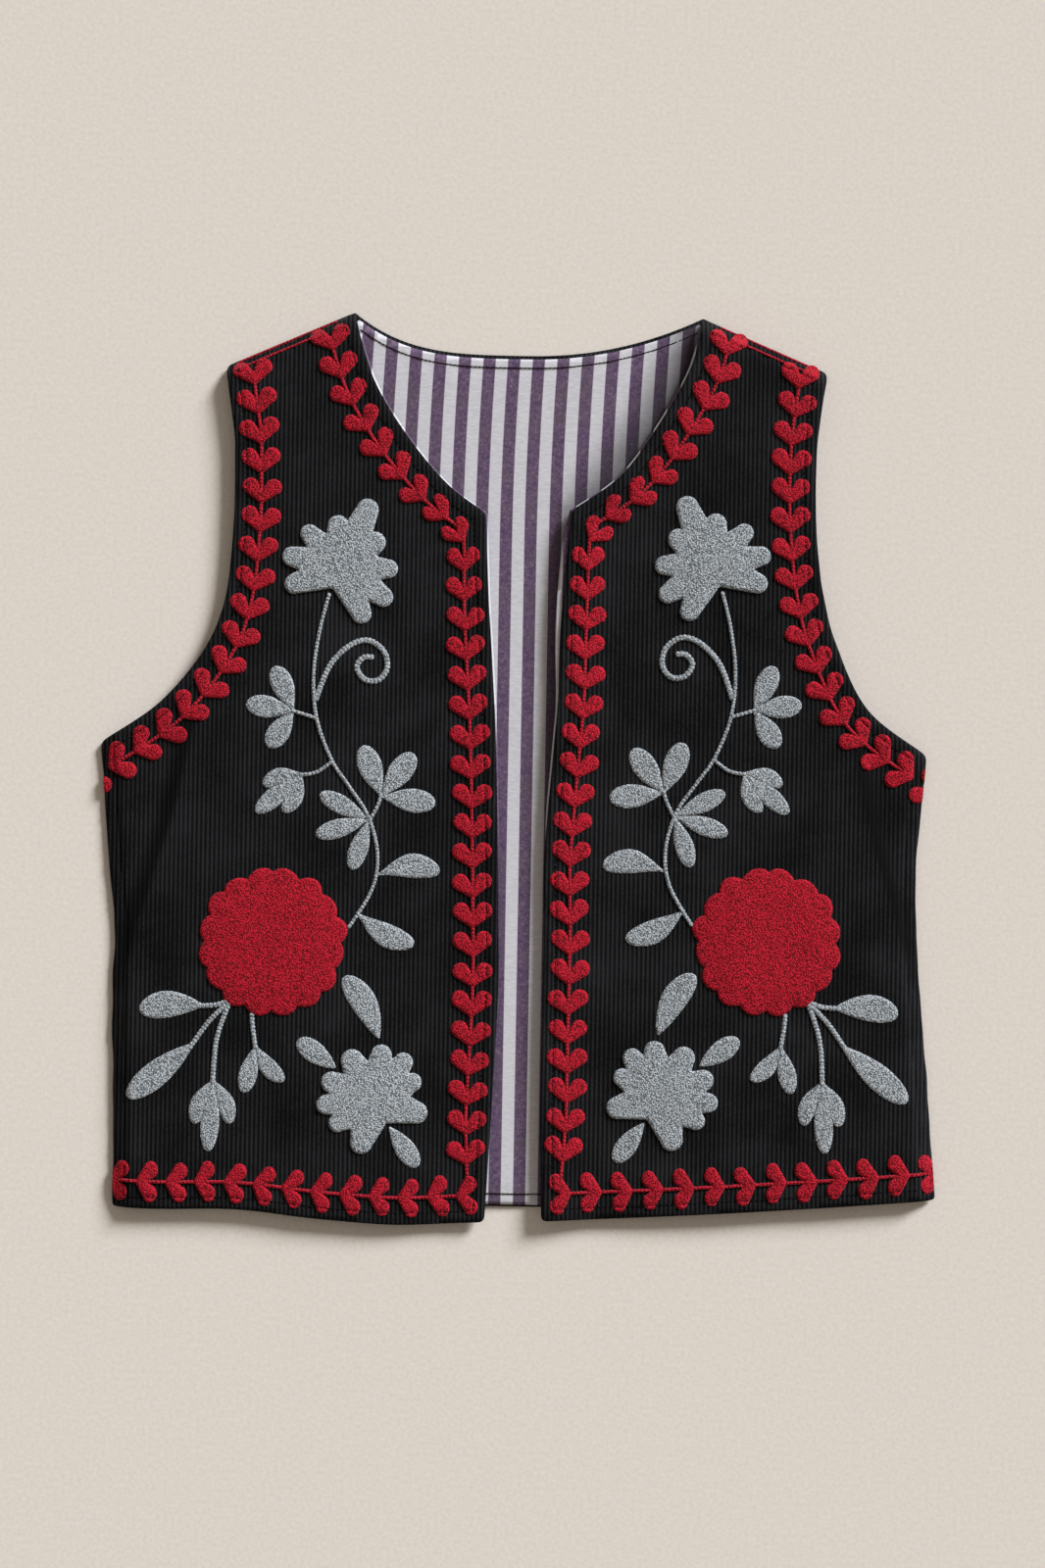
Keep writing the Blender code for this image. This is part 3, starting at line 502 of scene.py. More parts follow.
def alongRun(run, distance):
    for a, b in zip(run, run[1:]):
        length = (b - a).length
        if distance <= length or b is run[-1]:
            return a + (b - a) * (distance / length), (b - a).normalized()
        distance -= length
    return run[-1], (run[-1] - run[-2]).normalized()


def insetRun(run, inset, hand):
    moved = []
    for i, point in enumerate(run):
        along = (run[min(i + 1, len(run) - 1)] - run[max(i - 1, 0)]).normalized()
        moved.append(point + Vector((-along.y, along.x)) * inset * hand)
    return moved


# The camera, straight above, turned by the degree that the garment is turned in the picture
# tall: height of the view at the cloth's top, which is clothTop above the floor
view = {"tall": 948.7, "clothTop": 6.0, "lens": 100.0, "sensor": 36.0, "x": 0.8, "y": -7.5, "turn": 1.0}
cameraData = bpy.data.cameras.new("camera")
cameraData.sensor_fit = "VERTICAL"
cameraData.sensor_height = view["sensor"]
cameraData.lens = view["lens"]
camera = bpy.data.objects.new("camera", cameraData)
distance = view["tall"] * view["lens"] / view["sensor"]
camera.location = (view["x"] * mm, view["y"] * mm, (distance + view["clothTop"]) * mm)
camera.rotation_euler = (0.0, 0.0, math.radians(view["turn"]))
bpy.context.scene.collection.objects.link(camera)
bpy.context.scene.camera = camera


# Fronts in corduroy, with modelled wales, a puffed turned edge and the dent of the topstitching

def frontOutline(sideName):
    side = sides[sideName]
    outer = [sideWaved(side, p) for p in edgeRun(side, "outer", 0, shoulder, 12)]
    inner = edgeRun(side, "inner", 0, shoulder, 12)
    top = [panelPoint(side, i / 24.0, shoulder) for i in range(1, 24)]
    hem = [panelPoint(side, i / 40.0, 0.0) for i in range(39, 0, -1)]
    raw = outer + top + inner[::-1] + hem
    return resample(roundCorners(raw), 1.6, closed=True)


def sideWaved(side, point):
    # the turned side edge runs in and out a little, more below the armhole than beside it
    size = drape["sideWave"] * (0.4 + 0.6 * smooth((40.0 - point.y) / 60.0))
    wave = noise.noise(Vector((side["sign"] * 30.0, point.y / drape["sideWaveSize"], 2.0)))
    return Vector((point.x + size * wave, point.y))


def roundCorners(outline, passes=2):
    # garment corners are turned and pressed, never sharp
    for _ in range(passes):
        outline = resample(outline, 1.8, closed=True)
        outline = [(outline[i - 1] + p * 2.0 + outline[(i + 1) % len(outline)]) / 4.0
                   for i, p in enumerate(outline)]
    return outline


def waleAt(x):
    return 0.5 + 0.5 * math.cos(2.0 * math.pi * x / corduroy["wale"])


def foldShade(x, y):
    # painted shade: a dark band outside the crest that runs down from the armhole
    out = abs(x) - crestFromCentre(y)
    across = smooth((out + 1.0) / foldShadeBand["start"])
    across *= 1.0 - smooth((out - foldShadeBand["start"]) / foldShadeBand["width"])
    top = drape["crest"][0][1] + foldShadeBand["above"]
    along = smooth((top - y) / foldShadeBand["fadeAbove"])
    along *= smooth((y - foldShadeBand["lowest"]) / foldShadeBand["fadeBelow"])
    return foldShadeBand["depth"] * across * along


def buildFront(sideName):
    outline = frontOutline(sideName)
    bm = ringedSheet(outline, corduroy["edgeRings"], corduroy["wale"] / 4.0, corduroy["rowStep"])
    tree = outlineTree(outline)
    # the painted shade outside the crest goes in a layer that the corduroy's colour reads
    paintedShade = bm.verts.layers.float.new("paintedShade")
    for vert in bm.verts:
        x, y = vert.co.x, vert.co.y
        vert[paintedShade] = foldShade(x, y)
        edge = tree.find((x, y, 0.0))[2]
        relief = -corduroy["waleHeight"] * (1.0 - waleAt(x)) * smooth(edge / corduroy["waleFade"])
        relief -= corduroy["rimDrop"] * (1.0 - smooth(edge / corduroy["rimWidth"]))
        if edge < corduroy["stitchIn"]:
            relief += corduroy["edgePuff"] * math.sin(math.pi * edge / corduroy["stitchIn"])
        fromStitch = abs(edge - corduroy["stitchIn"])
        relief -= corduroy["stitchDent"] * (1.0 - smooth(fromStitch / corduroy["stitchDentWidth"]))
        vert.co.z = clothTop(sideName, x, y) + relief
    piece = finishPiece(sideName + "FrontCorduroy", bm, materials["corduroy"],
                        ["front_" + sideName])
    addWall(piece, corduroy["thickness"])
    return outline


# distance to a front's edge, for the patches and stitches that lie on it
edgeTrees = {sideName: outlineTree(buildFront(sideName)) for sideName in sides}
print("fronts ready")


# Front linings, whose edge peeks out past the corduroy along neck and front edge

frontLining = {"sideInset": 13.5, "armholeInset": 3.0, "armholeFrom": armpit + 0.7, "hemRow": 0.05,
               "topRows": [shoulder - 0.7, shoulder - 0.4], "tuck": 0.6, "hemTuck": 1.2,
               # how far the edge peeks out, and how much further on the right front
               "peek": 1.6, "peekFrom": -90.0, "peekRun": 80.0,
               "morePeek": 2.6, "moreFrom": 25.0, "moreRun": 90.0}


def liningPeek(sideName, row, height):
    peek = frontLining["peek"] * smooth((height - frontLining["peekFrom"]) / frontLining["peekRun"])
    if sideName == "right" and row < neckCorner:
        rising = smooth((height - frontLining["moreFrom"]) / frontLining["moreRun"])
        peek += frontLining["morePeek"] * rising * smooth((neckCorner - row) / 0.5)
    return peek - frontLining["tuck"] - frontLining["hemTuck"] * (1.0 - smooth(row / 0.3))


def buildFrontLining(sideName):
    side = sides[sideName]
    rows = [i / 6.0 for i in range(1, 6 * (shoulder - 1) + 1)]
    outer, inner = [], []
    for row in [frontLining["hemRow"]] + rows + frontLining["topRows"]:
        edge = panelPoint(side, 1.0, row)
        width = (panelPoint(side, 0.0, row) - edge).length
        inset = frontLining["sideInset" if row < frontLining["armholeFrom"] else "armholeInset"]
        outer.append(panelPoint(side, inset / width, row))
        inner.append(panelPoint(side, 1.0 + liningPeek(sideName, row, edge.y) / width, row))
    outline = resample(outer + inner[::-1], 2.0, closed=True)
    bm = ringedSheet(outline, liningCloth["edgeRings"], liningCloth["step"], liningCloth["step"])
    tree = outlineTree(outline)
    for vert in bm.verts:
        x, y = vert.co.x, vert.co.y
        rim = 0.25 * (1.0 - smooth(tree.find((x, y, 0.0))[2]))
        vert.co.z = frontHeight(sideName, x, y) - layers["gap"] - rim
    cloth = materials["rightLining" if sideName == "right" else "lining"]
    piece = finishPiece(sideName + "FrontLining", bm, cloth, ["front_lining_" + sideName])
    addWall(piece, liningCloth["thickness"])


for sideName in sides:
    buildFrontLining(sideName)
print("front linings ready")


# The back: corduroy shell and striped lining

back = {"neckY": 251.9, "neckBend": {"left": 3.5, "right": 2.1}, "hemY": -264.5, "hemRise": 3.0,
        # insets of the two cloths from the fronts' outline
        "shell": {"side": 0.8, "armhole": 0.8, "neck": 0.0, "hem": 0.9, "shoulder": 1.0},
        "lining": {"side": 13.5, "armhole": 2.5, "neck": 2.2, "hem": 2.1, "shoulder": 20.0},
        "shellRings": (0.5, 1.0), "shellStep": 12.0, "liningRings": (0.4, 1.0, 3.6, 1.2, 1.2),
        "rimDrop": 0.75, "rimDropOnWale": 0.3}
# The back lining climbs towards the right front's lifted edge, most beside the neck, and has the front's
# shadow painted on it there
climb = {"low": 0.4, "middle": 1.6, "neck": 3.0, "reach": 12.0, "neckReach": 16.0, "neckFrom": 150.0,
         "neckRun": 50.0, "middleFrom": -60.0, "middleRun": 120.0,
         "shade": 0.6, "neckShade": 0.2, "neckShadeReach": 18.0, "shadeFrom": -50.0, "shadeRun": 90.0,
         "underNeckEdge": 3.0, "neckEdgeRun": 12.0}
neckLeft, neckRight = sides["left"]["shoulderSeam"][-1], sides["right"]["shoulderSeam"][-1]
neckHalf, neckMiddle = (neckRight.x - neckLeft.x) / 2.0, (neckRight.x + neckLeft.x) / 2.0


def neckHeight(x):
    # Y of the back neck edge, a shallow curve between the shoulder points, flatter on the left
    bend = back["neckBend"]["left" if x < neckMiddle else "right"]
    return back["neckY"] + (neckLeft.y - back["neckY"]) * abs((x - neckMiddle) / neckHalf) ** bend


def backOutline(insets):
    def sidePoints(side):
        hand = side["sign"]
        seam = insetRun(edgeRun(side, "outer", 0, armpit, 4), insets["side"], hand)
        hole = insetRun(edgeRun(side, "outer", armpit, shoulder, 4), insets["armhole"], hand)
        corner = seam[0] + Vector((0.0, insets["hem"] + back["hemRise"]))
        top = hole[-1] - Vector((0.0, insets["shoulder"]))
        return [corner] + seam[1:-1] + [seam[-1].lerp(hole[0], 0.5)] + hole[1:-1] + [top]

    reach = neckHalf - insets["neck"] * 1.3
    neck = []
    for i in range(41):
        x = neckMiddle + reach * (i / 20.0 - 1.0)
        neck.append(Vector((x, neckHeight(x) - insets["neck"])))
    hem = [Vector((x, back["hemY"] + insets["hem"])) for x in (20.0, -20.0)]
    return sidePoints(sides["left"]) + neck + sidePoints(sides["right"])[::-1] + hem


def buildBackShell():
    outline = resample(backOutline(back["shell"]), 1.35, closed=True)
    bm = ringedSheet(outline, back["shellRings"], back["shellStep"], back["shellStep"])
    tree = outlineTree(outline)
    for vert in bm.verts:
        edge = tree.find((vert.co.x, vert.co.y, 0.0))[2]
        drop = back["rimDrop"] + (back["rimDropOnWale"] - back["rimDrop"]) * waleAt(vert.co.x)
        vert.co.z = layers["shell"] - drop * (1.0 - smooth(edge / corduroy["rimWidth"]))
    for vert in closeBelow(bm):
        vert.co.z = 0.0
    piece = finishPiece("backCorduroy", bm, materials["corduroy"], ["back_shell"], recalc=True)


def besideNeck(y):
    return smooth((y - climb["neckFrom"]) / climb["neckRun"])


def nearRightFront(x, y, neckReach):
    # 1 at the right front's edge and 0 beyond the reach, which is longer beside the neck
    reach = climb["reach"] + neckReach * besideNeck(y)
    return 1.0 - smooth(distanceToRun(x, y, sides["right"]["innerSpans"]) / reach)


def liningRise(x, y):
    upFront = smooth((y - climb["middleFrom"]) / climb["middleRun"])
    height = climb["low"] + climb["middle"] * upFront + climb["neck"] * besideNeck(y)
    belowNeckEdge = smooth((neckHeight(x) - climb["underNeckEdge"] - y) / climb["neckEdgeRun"])
    return height * nearRightFront(x, y, climb["neckReach"]) * belowNeckEdge


# painted shadow of the lifted right front on the back lining, deepest beside the neck
def liningShade(x, y):
    upFront = smooth((y - climb["shadeFrom"]) / climb["shadeRun"])
    depth = climb["shade"] * upFront + climb["neckShade"] * besideNeck(y)
    return depth * nearRightFront(x, y, climb["neckShadeReach"])


def liningHeight(x, y):
    # shallow puckers near the neck and long soft waves below
    wave = 0.30 * noise.noise(Vector((x / 34.0, y / 120.0, 4.0)))
    pucker = 0.22 * noise.noise(Vector((x / 9.0, y / 22.0, 9.0))) * smooth((y - 215.0) / 35.0)
    return layers["seamFloor"] + layers["lining"] - 0.3 + wave + pucker + liningRise(x, y)


def buildBackLining():
    outline = resample(backOutline(back["lining"]), 2.0, closed=True)
    bm = ringedSheet(outline, back["liningRings"], liningCloth["step"], liningCloth["step"])
    tree = outlineTree(outline)
    # the lining's painted shadow goes in a layer that its colour reads
    paintedShade = bm.verts.layers.float.new("paintedShade")
    for vert in bm.verts:
        vert[paintedShade] = liningShade(vert.co.x, vert.co.y)
        edge = tree.find((vert.co.x, vert.co.y, 0.0))[2]
        dent = 0.35 * (1.0 - smooth(abs(edge - liningCloth["stitchIn"]) / 1.6))
        vert.co.z = liningHeight(vert.co.x, vert.co.y) - 0.3 * (1.0 - smooth(edge / 1.2)) - dent
    piece = finishPiece("backLining", bm, materials["lining"], ["back_lining"])
    addWall(piece, liningCloth["thickness"])


buildBackShell()
buildBackLining()
print("back ready")


# Embroidery. A pad is one patch of looped stitches; a line is a row of chain-stitch links.
# foldZone: how far out a patch can meet the side fold, which cuts it in stretches foldReach longer at each end

yarn = {"leaf": 1.0, "heart": 1.5, "flower": 1.9, "step": 1.0, "rings": (0.35, 0.6), "sink": 0.35,
        "loop": 1.5, "loopHeight": 0.3, "linkPitch": 2.3, "linkLength": 3.2,
        # a patch starts just below the cloth, is lower at its rim and is pressed in by the topstitching
        "base": -0.25, "rimShare": 0.35, "rimRun": 1.1, "crownRun": 14.0, "stitchPress": 0.7,
        "stitchReach": 1.3, "foldZone": 215.0, "foldReach": 14.0,
        # height and lift over the cloth of a border's line and of a stem
        "vineLine": (1.6, 0.3), "stemLine": (1.5, 0.25)}
lineWidths = {"vine": 2.8, "StemSpray": 3.0, "RootSpray": 4.1, "SmallSprig": 3.8, "tendril": 4.6}
# spots where the topstitching crosses a patch, as x, y and the patch's height there
stitchedYarn = {"left": [], "right": []}


def padTemplate(outline, step):
    # a flat patch with a skirt, each point's distance from the rim kept in a layer
    bm = ringedSheet(outline, yarn["rings"], step, step)
    rim = bm.verts.layers.float.new("rim")
    tree = outlineTree(outline, 0.5)
    for vert in bm.verts:
        vert[rim] = tree.find((vert.co.x, vert.co.y, 0.0))[2]
    for vert in closeBelow(bm):
        vert[rim] = -1.0
    bmesh.ops.recalc_face_normals(bm, faces=bm.faces)
    return toMesh(bm, "pad")


def layPad(target, padMesh, turn, sideName, height, crown):
    # place a patch on a front: turn maps it to its place, then it takes the cloth's height
    source = bmesh.new()
    source.from_mesh(padMesh)
    bmesh.ops.transform(source, matrix=turn, verts=source.verts)
    if turn.determinant() < 0.0:
        bmesh.ops.reverse_faces(source, faces=source.faces)
    trimAtSideSeam(source, sideName)
    rim = source.verts.layers.float["rim"]
    for vert in source.verts:
        x, y = vert.co.x, vert.co.y
        cloth = clothTop(sideName, x, y)
        if vert[rim] < -0.01:
            vert.co.z = cloth - yarn["sink"] - 0.4
            continue
        edge = vert[rim]
        body = height * (yarn["rimShare"] + (1.0 - yarn["rimShare"]) * smooth(edge / yarn["rimRun"]))
        body += crown * smooth(edge / yarn["crownRun"])
        loops = noise.voronoi(Vector((x, y, 0.0)) / yarn["loop"])[0][0]
        body += yarn["loopHeight"] * (0.35 - loops) * smooth(edge / 0.8)
        fromStitch = abs(edgeTrees[sideName].find((x, y, 0.0))[2] - corduroy["stitchIn"])
        body -= yarn["stitchPress"] * max(body, 0.0) * (1.0 - smooth(fromStitch / yarn["stitchReach"]))
        vert.co.z = cloth + yarn["base"] + body
        if fromStitch < 1.2 and edge > 0.3:
            stitchedYarn[sideName].append(vert.co.copy())
    laid = toMesh(source, "laid")
    target.from_mesh(laid)
    bpy.data.meshes.remove(laid)


def trimAtSideSeam(source, sideName):
    # cut off what would stand past the side fold, one short stretch of the seam after another
    side = sides[sideName]
    middle = sum((v.co for v in source.verts), Vector()) / len(source.verts)
    if abs(middle.x) < yarn["foldZone"]:
        return
    for a, b in zip(side["sideSeam"], side["sideSeam"][1:]):
        if a.y - yarn["foldReach"] <= middle.y <= b.y + yarn["foldReach"]:
            along = (b - a).normalized()
            normal = Vector((along.y, -along.x, 0.0)) * side["sign"]
            geom = source.verts[:] + source.edges[:] + source.faces[:]
            out = bmesh.ops.bisect_plane(source, geom=geom, dist=0.01, plane_co=(a.x, a.y, 0.0),
                                         plane_no=normal, clear_outer=True)
            edges = [g for g in out["geom_cut"] if isinstance(g, bmesh.types.BMEdge) and g.is_boundary]
            if edges:
                bmesh.ops.holes_fill(source, edges=edges)


def linkTemplate():
    # one chain-stitch link, a flattened bead pinched at its middle
    bm = bmesh.new()
    bmesh.ops.create_uvsphere(bm, u_segments=8, v_segments=5, radius=0.5)
    for vert in bm.verts:
        pinch = 1.0 - 0.25 * (1.0 - abs(vert.co.z) * 2.0)
        x, y, z = vert.co
        vert.co = (z, x * pinch, y)
    bmesh.ops.recalc_face_normals(bm, faces=bm.faces)
    return toMesh(bm, "link")


linkMesh = linkTemplate()


def layLinks(target, run, heightAt, length, width, height, pitch):
    total = runLength(run)
    count = max(1, int(total / pitch))
    size = Matrix.Diagonal((length, width, height, 1.0))
    for i in range(count):
        place, along = alongRun(run, (i + 0.5) * total / count)
        angle = math.atan2(along.y, along.x) + random.uniform(-0.12, 0.12)
        move = Matrix.Translation((place.x, place.y, heightAt(place.x, place.y)))
        turn = move @ Matrix.Rotation(angle, 4, "Z") @ size
        start = len(target.verts)
        target.from_mesh(linkMesh)
        target.verts.ensure_lookup_table()
        bmesh.ops.transform(target, matrix=turn, verts=target.verts[start:])


# Motif places, as distance out from the centre and height; the right front's are shifted
motif = {
    "rightShift": (1.6, 5.0),
    "rosette": {"centre": (148.8, -105.7), "radius": 45.0, "scallops": 16, "bulge": 3.6, "uneven": 2.4},
    # petals: turn from the middle one, reach of the end's centre from the base, width of the end
    "roundFlower": {"base": (77.2, -215.5), "facing": 60.4, "hub": 17.0, "core": 14.0,
                    "petals": [(0.0, 44.8, 14.0), (23.5, 42.8, 13.0), (42.5, 39.4, 11.9),
                               (58.3, 30.2, 11.3), (94.2, 19.0, 13.7)]},
    "fanFlower": {"base": (116.7, 107.3), "facing": 113.0, "hub": 15.5, "core": 12.0,
                  "petals": [(0.0, 53.4, 13.8), (18.0, 39.3, 13.2), (45.0, 36.9, 11.5), (73.0, 31.6, 12.0),
                             (103.5, 22.8, 12.2)]},
    "mainStem": [(117.9, 105.6), (123.0, 85.3), (126.6, 57.9), (124.5, 30.7), (115.0, 5.3), (104.2, -10.5),
                 (91.9, -29.3), (86.1, -52.3), (89.5, -73.6), (103.0, -96.4)],
    "tendril": [(125.3, 40.8), (117.2, 61.6), (105.6, 74.0), (94.4, 77.7), (84.8, 71.7),
                (82.2, 61.6), (87.4, 53.8), (95.7, 54.0), (100.6, 61.3), (96.6, 67.3),
                (90.6, 67.4)],
    "stemLinks": [[(124.6, 30.1), (139.5, 34.6)], [(114.6, 4.0), (124.0, -2.6), (134.0, -4.4)],
                  [(91.4, -31.5), (86.5, -22.0), (84.5, -15.0)]],
    # base x, base y, length, angle, width, bend, fullness of the base
    "stemLeaves": [
        (138.3, 34.2, 29.4, 66.0, 13.6, 0.0, 0.68), (138.3, 34.2, 29.0, 8.0, 13.6, 0.0, 0.68),
        (138.3, 34.2, 26.8, -56.0, 13.6, 0.0, 0.68), (132.6, -3.6, 24.6, -16.0, 10.5, 2.0, 0.68),
        (132.6, -3.6, 36.5, -41.0, 11.5, 0.0, 0.68), (132.6, -3.6, 26.0, -66.0, 10.5, -2.0, 0.68),
        (84.5, -16.7, 32.8, 69.0, 14.6, 0.0, 0.68), (84.5, -16.7, 32.7, 126.0, 14.6, 0.0, 0.68),
        (84.5, -16.7, 32.9, 186.0, 14.6, 0.0, 0.68), (91.6, -30.7, 33.6, 27.0, 11.6, 0.0, 0.68),
        (91.6, -30.7, 33.6, -17.0, 11.6, 0.0, 0.68), (91.6, -30.7, 32.0, -71.5, 11.6, 0.0, 0.68),
        (86.4, -64.2, 38.2, 174.3, 15.0, -4.0, 0.8), (98.6, -86.8, 40.2, 209.0, 14.5, 3.0, 0.8)],
    "rootStems": [[(172.6, -140.6), (182.0, -144.2), (193.5, -145.0)],
                  [(172.6, -140.6), (186.0, -154.0), (198.0, -171.0)],
                  [(174.0, -142.0), (181.4, -165.0), (183.4, -191.5)]],
    "rootLeaves": [
        (189.6, -144.8, 39.0, -4.0, 16.4, 2.0, 0.55), (195.0, -167.6, 52.0, -40.0, 15.8, 0.0, 0.55),
        (183.2, -189.6, 29.0, -67.0, 10.5, 2.0, 0.68), (183.2, -188.0, 45.0, -87.0, 11.5, 0.0, 0.68),
        (183.2, -189.6, 28.6, -113.0, 10.5, -2.0, 0.68)],
    "sprigStems": [[(160.4, -149.0), (159.6, -158.0), (157.8, -170.0)]],
    "sprigLeaves": [(157.9, -167.8, 30.0, -77.0, 11.2, 0.0, 0.8),
                    (157.9, -167.8, 28.0, -128.0, 10.8, 2.0, 0.8)],
    "dropLeaf": (83.3, -162.9, 43.0, 60.2, 16.0, 2.5, 0.5),
    "upperLeaf": (109.2, -181.2, 28.6, 35.6, 13.0, 0.0, 0.5),
    "lowerLeaf": (76.0, -216.4, 29.4, 233.9, 12.4, 0.0, 0.55),
}
hearts = {"back": 10.2, "aside": 7.0, "radius": 5.2, "tip": 2.8, "lookBack": 20.0,
          "inset": {"neck": 18.0, "front": 15.6, "frontAtHem": 11.8, "hem": 16.4, "armhole": 16.0},
          # count, first tip from the start of the line, last tip from its end, share of the full length
          "neckAndFront": (30, 19.5, 18.0, 1.0), "hem": (13, 6.6, -4.2, 0.86),
          "armhole": {"left": (17, 13.4, -22.6, 1.0), "right": (17, 12.4, -18.4, 1.0)},
          # hearts near the neck corner look narrower, as the edge there curls up
          "squeeze": 0.3, "squeezeReach": 85.0,
          # spread of the hearts' angles, and least and greatest size
          "tilt": 0.06, "sizes": (0.96, 1.03), "crown": 0.15,
          # where the line nears the front edge on its way down, and where it starts before its first heart
          "nearHemFrom": -205.0, "nearHemRun": 50.0, "lineAhead": 2.0}


def placeMotif(sideName, x, y):
    if sideName == "left":
        return Vector((-x, y))
    return Vector((x + motif["rightShift"][0], y + motif["rightShift"][1]))


def leafOutline(baseX, baseY, length, angle, width, bend, fullness, steps=16):
    along = Vector((math.cos(math.radians(angle)), math.sin(math.radians(angle))))
    across = Vector((-along.y, along.x))
    base = Vector((baseX, baseY))

    def at(share, hand):
        # widest at 0.61 of the length, with a rounder end past that
        roundness = fullness if share < 0.61 else 0.45
        half = 0.5 * width * math.sin(math.pi * share ** 1.4) ** roundness
        half = max(half, 0.5 * (1.0 - share))
        return base + along * length * share + across * (bend * math.sin(math.pi * share) + hand * half)

    shares = [math.sin(math.pi / 2.0 * i / steps) for i in range(steps)]
    return [at(s, -1) for s in shares] + [base + along * length] + [at(s, 1) for s in shares[::-1]]


def around(centre, radius, angle):
    return centre + radius * Vector((math.cos(angle), math.sin(angle)))


def lobeOutline(start, startRadius, end, endRadius, points=9):
    # a lobe with round ends, which widens or narrows from one to the other
    along = math.atan2(end.y - start.y, end.x - start.x)
    ends = [(end, endRadius, along - math.pi / 2.0), (start, startRadius, along + math.pi / 2.0)]
    return [around(centre, radius, first + math.pi * i / points)
            for centre, radius, first in ends for i in range(points + 1)]


def joinedOutline(centre, lobes, step):
    # outer edge of lobes that all hold the centre, walked round at an even spacing
    outline = []
    for i in range(720):
        turn = 2.0 * math.pi * i / 720
        direction = Vector((math.cos(turn), math.sin(turn)))
        reach = 0.0
        for lobe in lobes:
            for a, b in zip(lobe, lobe[1:] + lobe[:1]):
                side = b - a
                facing = direction.cross(side)
                if abs(facing) > 1e-9:
                    along = (a - centre).cross(side) / facing
                    share = (a - centre).cross(direction) / facing
                    if along > reach and -1e-6 <= share <= 1.0 + 1e-6:
                        reach = along
        outline.append(centre + direction * reach)
    return resample(outline, step, closed=True)


def flowerOutline(flower):
    base = Vector(flower["base"])
    facing = math.radians(flower["facing"])
    hub = around(base, flower["hub"], facing)
    lobes = []
    for turn, reach, width in flower["petals"]:
        for hand in (1, -1) if turn else (1,):
            end = around(base, reach, facing + hand * math.radians(turn))
            lobes.append(lobeOutline(hub, flower["core"], end, width / 2.0))
    return joinedOutline(hub, lobes, 0.9)


def heartOutline():
    # two lobes that meet at the tip; the tip is the origin and the heart lies along -X
    start = Vector((-hearts["tip"], 0.0))
    lobes = []
    for hand in (1, -1):
        end = Vector((-hearts["back"], hearts["aside"] * hand))
        lobes.append(lobeOutline(start, hearts["tip"], end, hearts["radius"]))
    return joinedOutline(start, lobes, 0.8)


def meetingPoint(first, second):
    a, b, c, d = first[-2], first[-1], second[0], second[1]
    one, two = b - a, d - c
    return a + one * ((c - a).cross(two) / one.cross(two))


def cutAtCorner(first, second):
    # both runs end at the corner where they meet
    corner = meetingPoint(first, second)
    arriving, leaving = (first[-1] - first[-2]).normalized(), (second[1] - second[0]).normalized()
    before = [p for p in first if (corner - p).dot(arriving) > 1.0]
    after = [p for p in second if (p - corner).dot(leaving) > 1.0]
    return before + [corner], [corner.copy()] + after


def edgeRuns(side, neckInset, frontInset, hemInset):
    # lines that run beside a front's neck, front edge and hem
    hand = side["sign"]
    hem = [panelPoint(side, 1.0 - i / 24.0, 0.0) for i in range(25)]
    return [insetRun(edgeRun(side, "inner", shoulder, neckCorner, 6), neckInset, hand),
            insetRun(edgeRun(side, "inner", neckCorner, 0, 4), frontInset, hand),
            insetRun(hem, hemInset, hand)]


def armholeRun(side, inset):
    return insetRun(edgeRun(side, "outer", shoulder, armpit, 6), inset, -side["sign"])


def vineRuns(sideName):
    side, inset = sides[sideName], hearts["inset"]
    hand = side["sign"]
    neck, front, hem = edgeRuns(side, inset["neck"], inset["front"], inset["hem"])
    for point in front:
        nearHem = smooth((hearts["nearHemFrom"] - point.y) / hearts["nearHemRun"])
        point.x -= hand * (inset["front"] - inset["frontAtHem"]) * nearHem
    neck, front = cutAtCorner(neck, front)
    front, hem = cutAtCorner(front, hem)
    run = softened(neck + front[1:])
    shifted = insetRun(run, -side["cornerShift"], hand)
    bent = [p.lerp(q, nearNeckCorner(sideName, p)) for p, q in zip(run, shifted)]
    return {"neckAndFront": bent, "hem": hem, "armhole": armholeRun(side, inset["armhole"])}


def nearNeckCorner(sideName, point):
    corner = edgePoint(sides[sideName]["sections"], "inner", neckCorner)
    return 1.0 - smooth((point - corner).length / hearts["squeezeReach"])


def softened(run):
    # the line runs round a corner in a small bend
    run = resample(run, 2.5)
    for _ in range(3):
        run = [run[0]] + [(a + b * 2.0 + c) / 4.0 for a, b, c in zip(run, run[1:], run[2:])] + [run[-1]]
    return run


heartPad = padTemplate(heartOutline(), yarn["step"])


def pastEnds(run, distance):
    # point at a distance along a run, drawn on straight past either end
    total = runLength(run)
    if 0.0 < distance < total:
        return alongRun(run, distance)[0]
    place, direction = alongRun(run, min(max(distance, 0.001), total - 0.001))
    return place + direction * (distance - min(max(distance, 0.0), total))


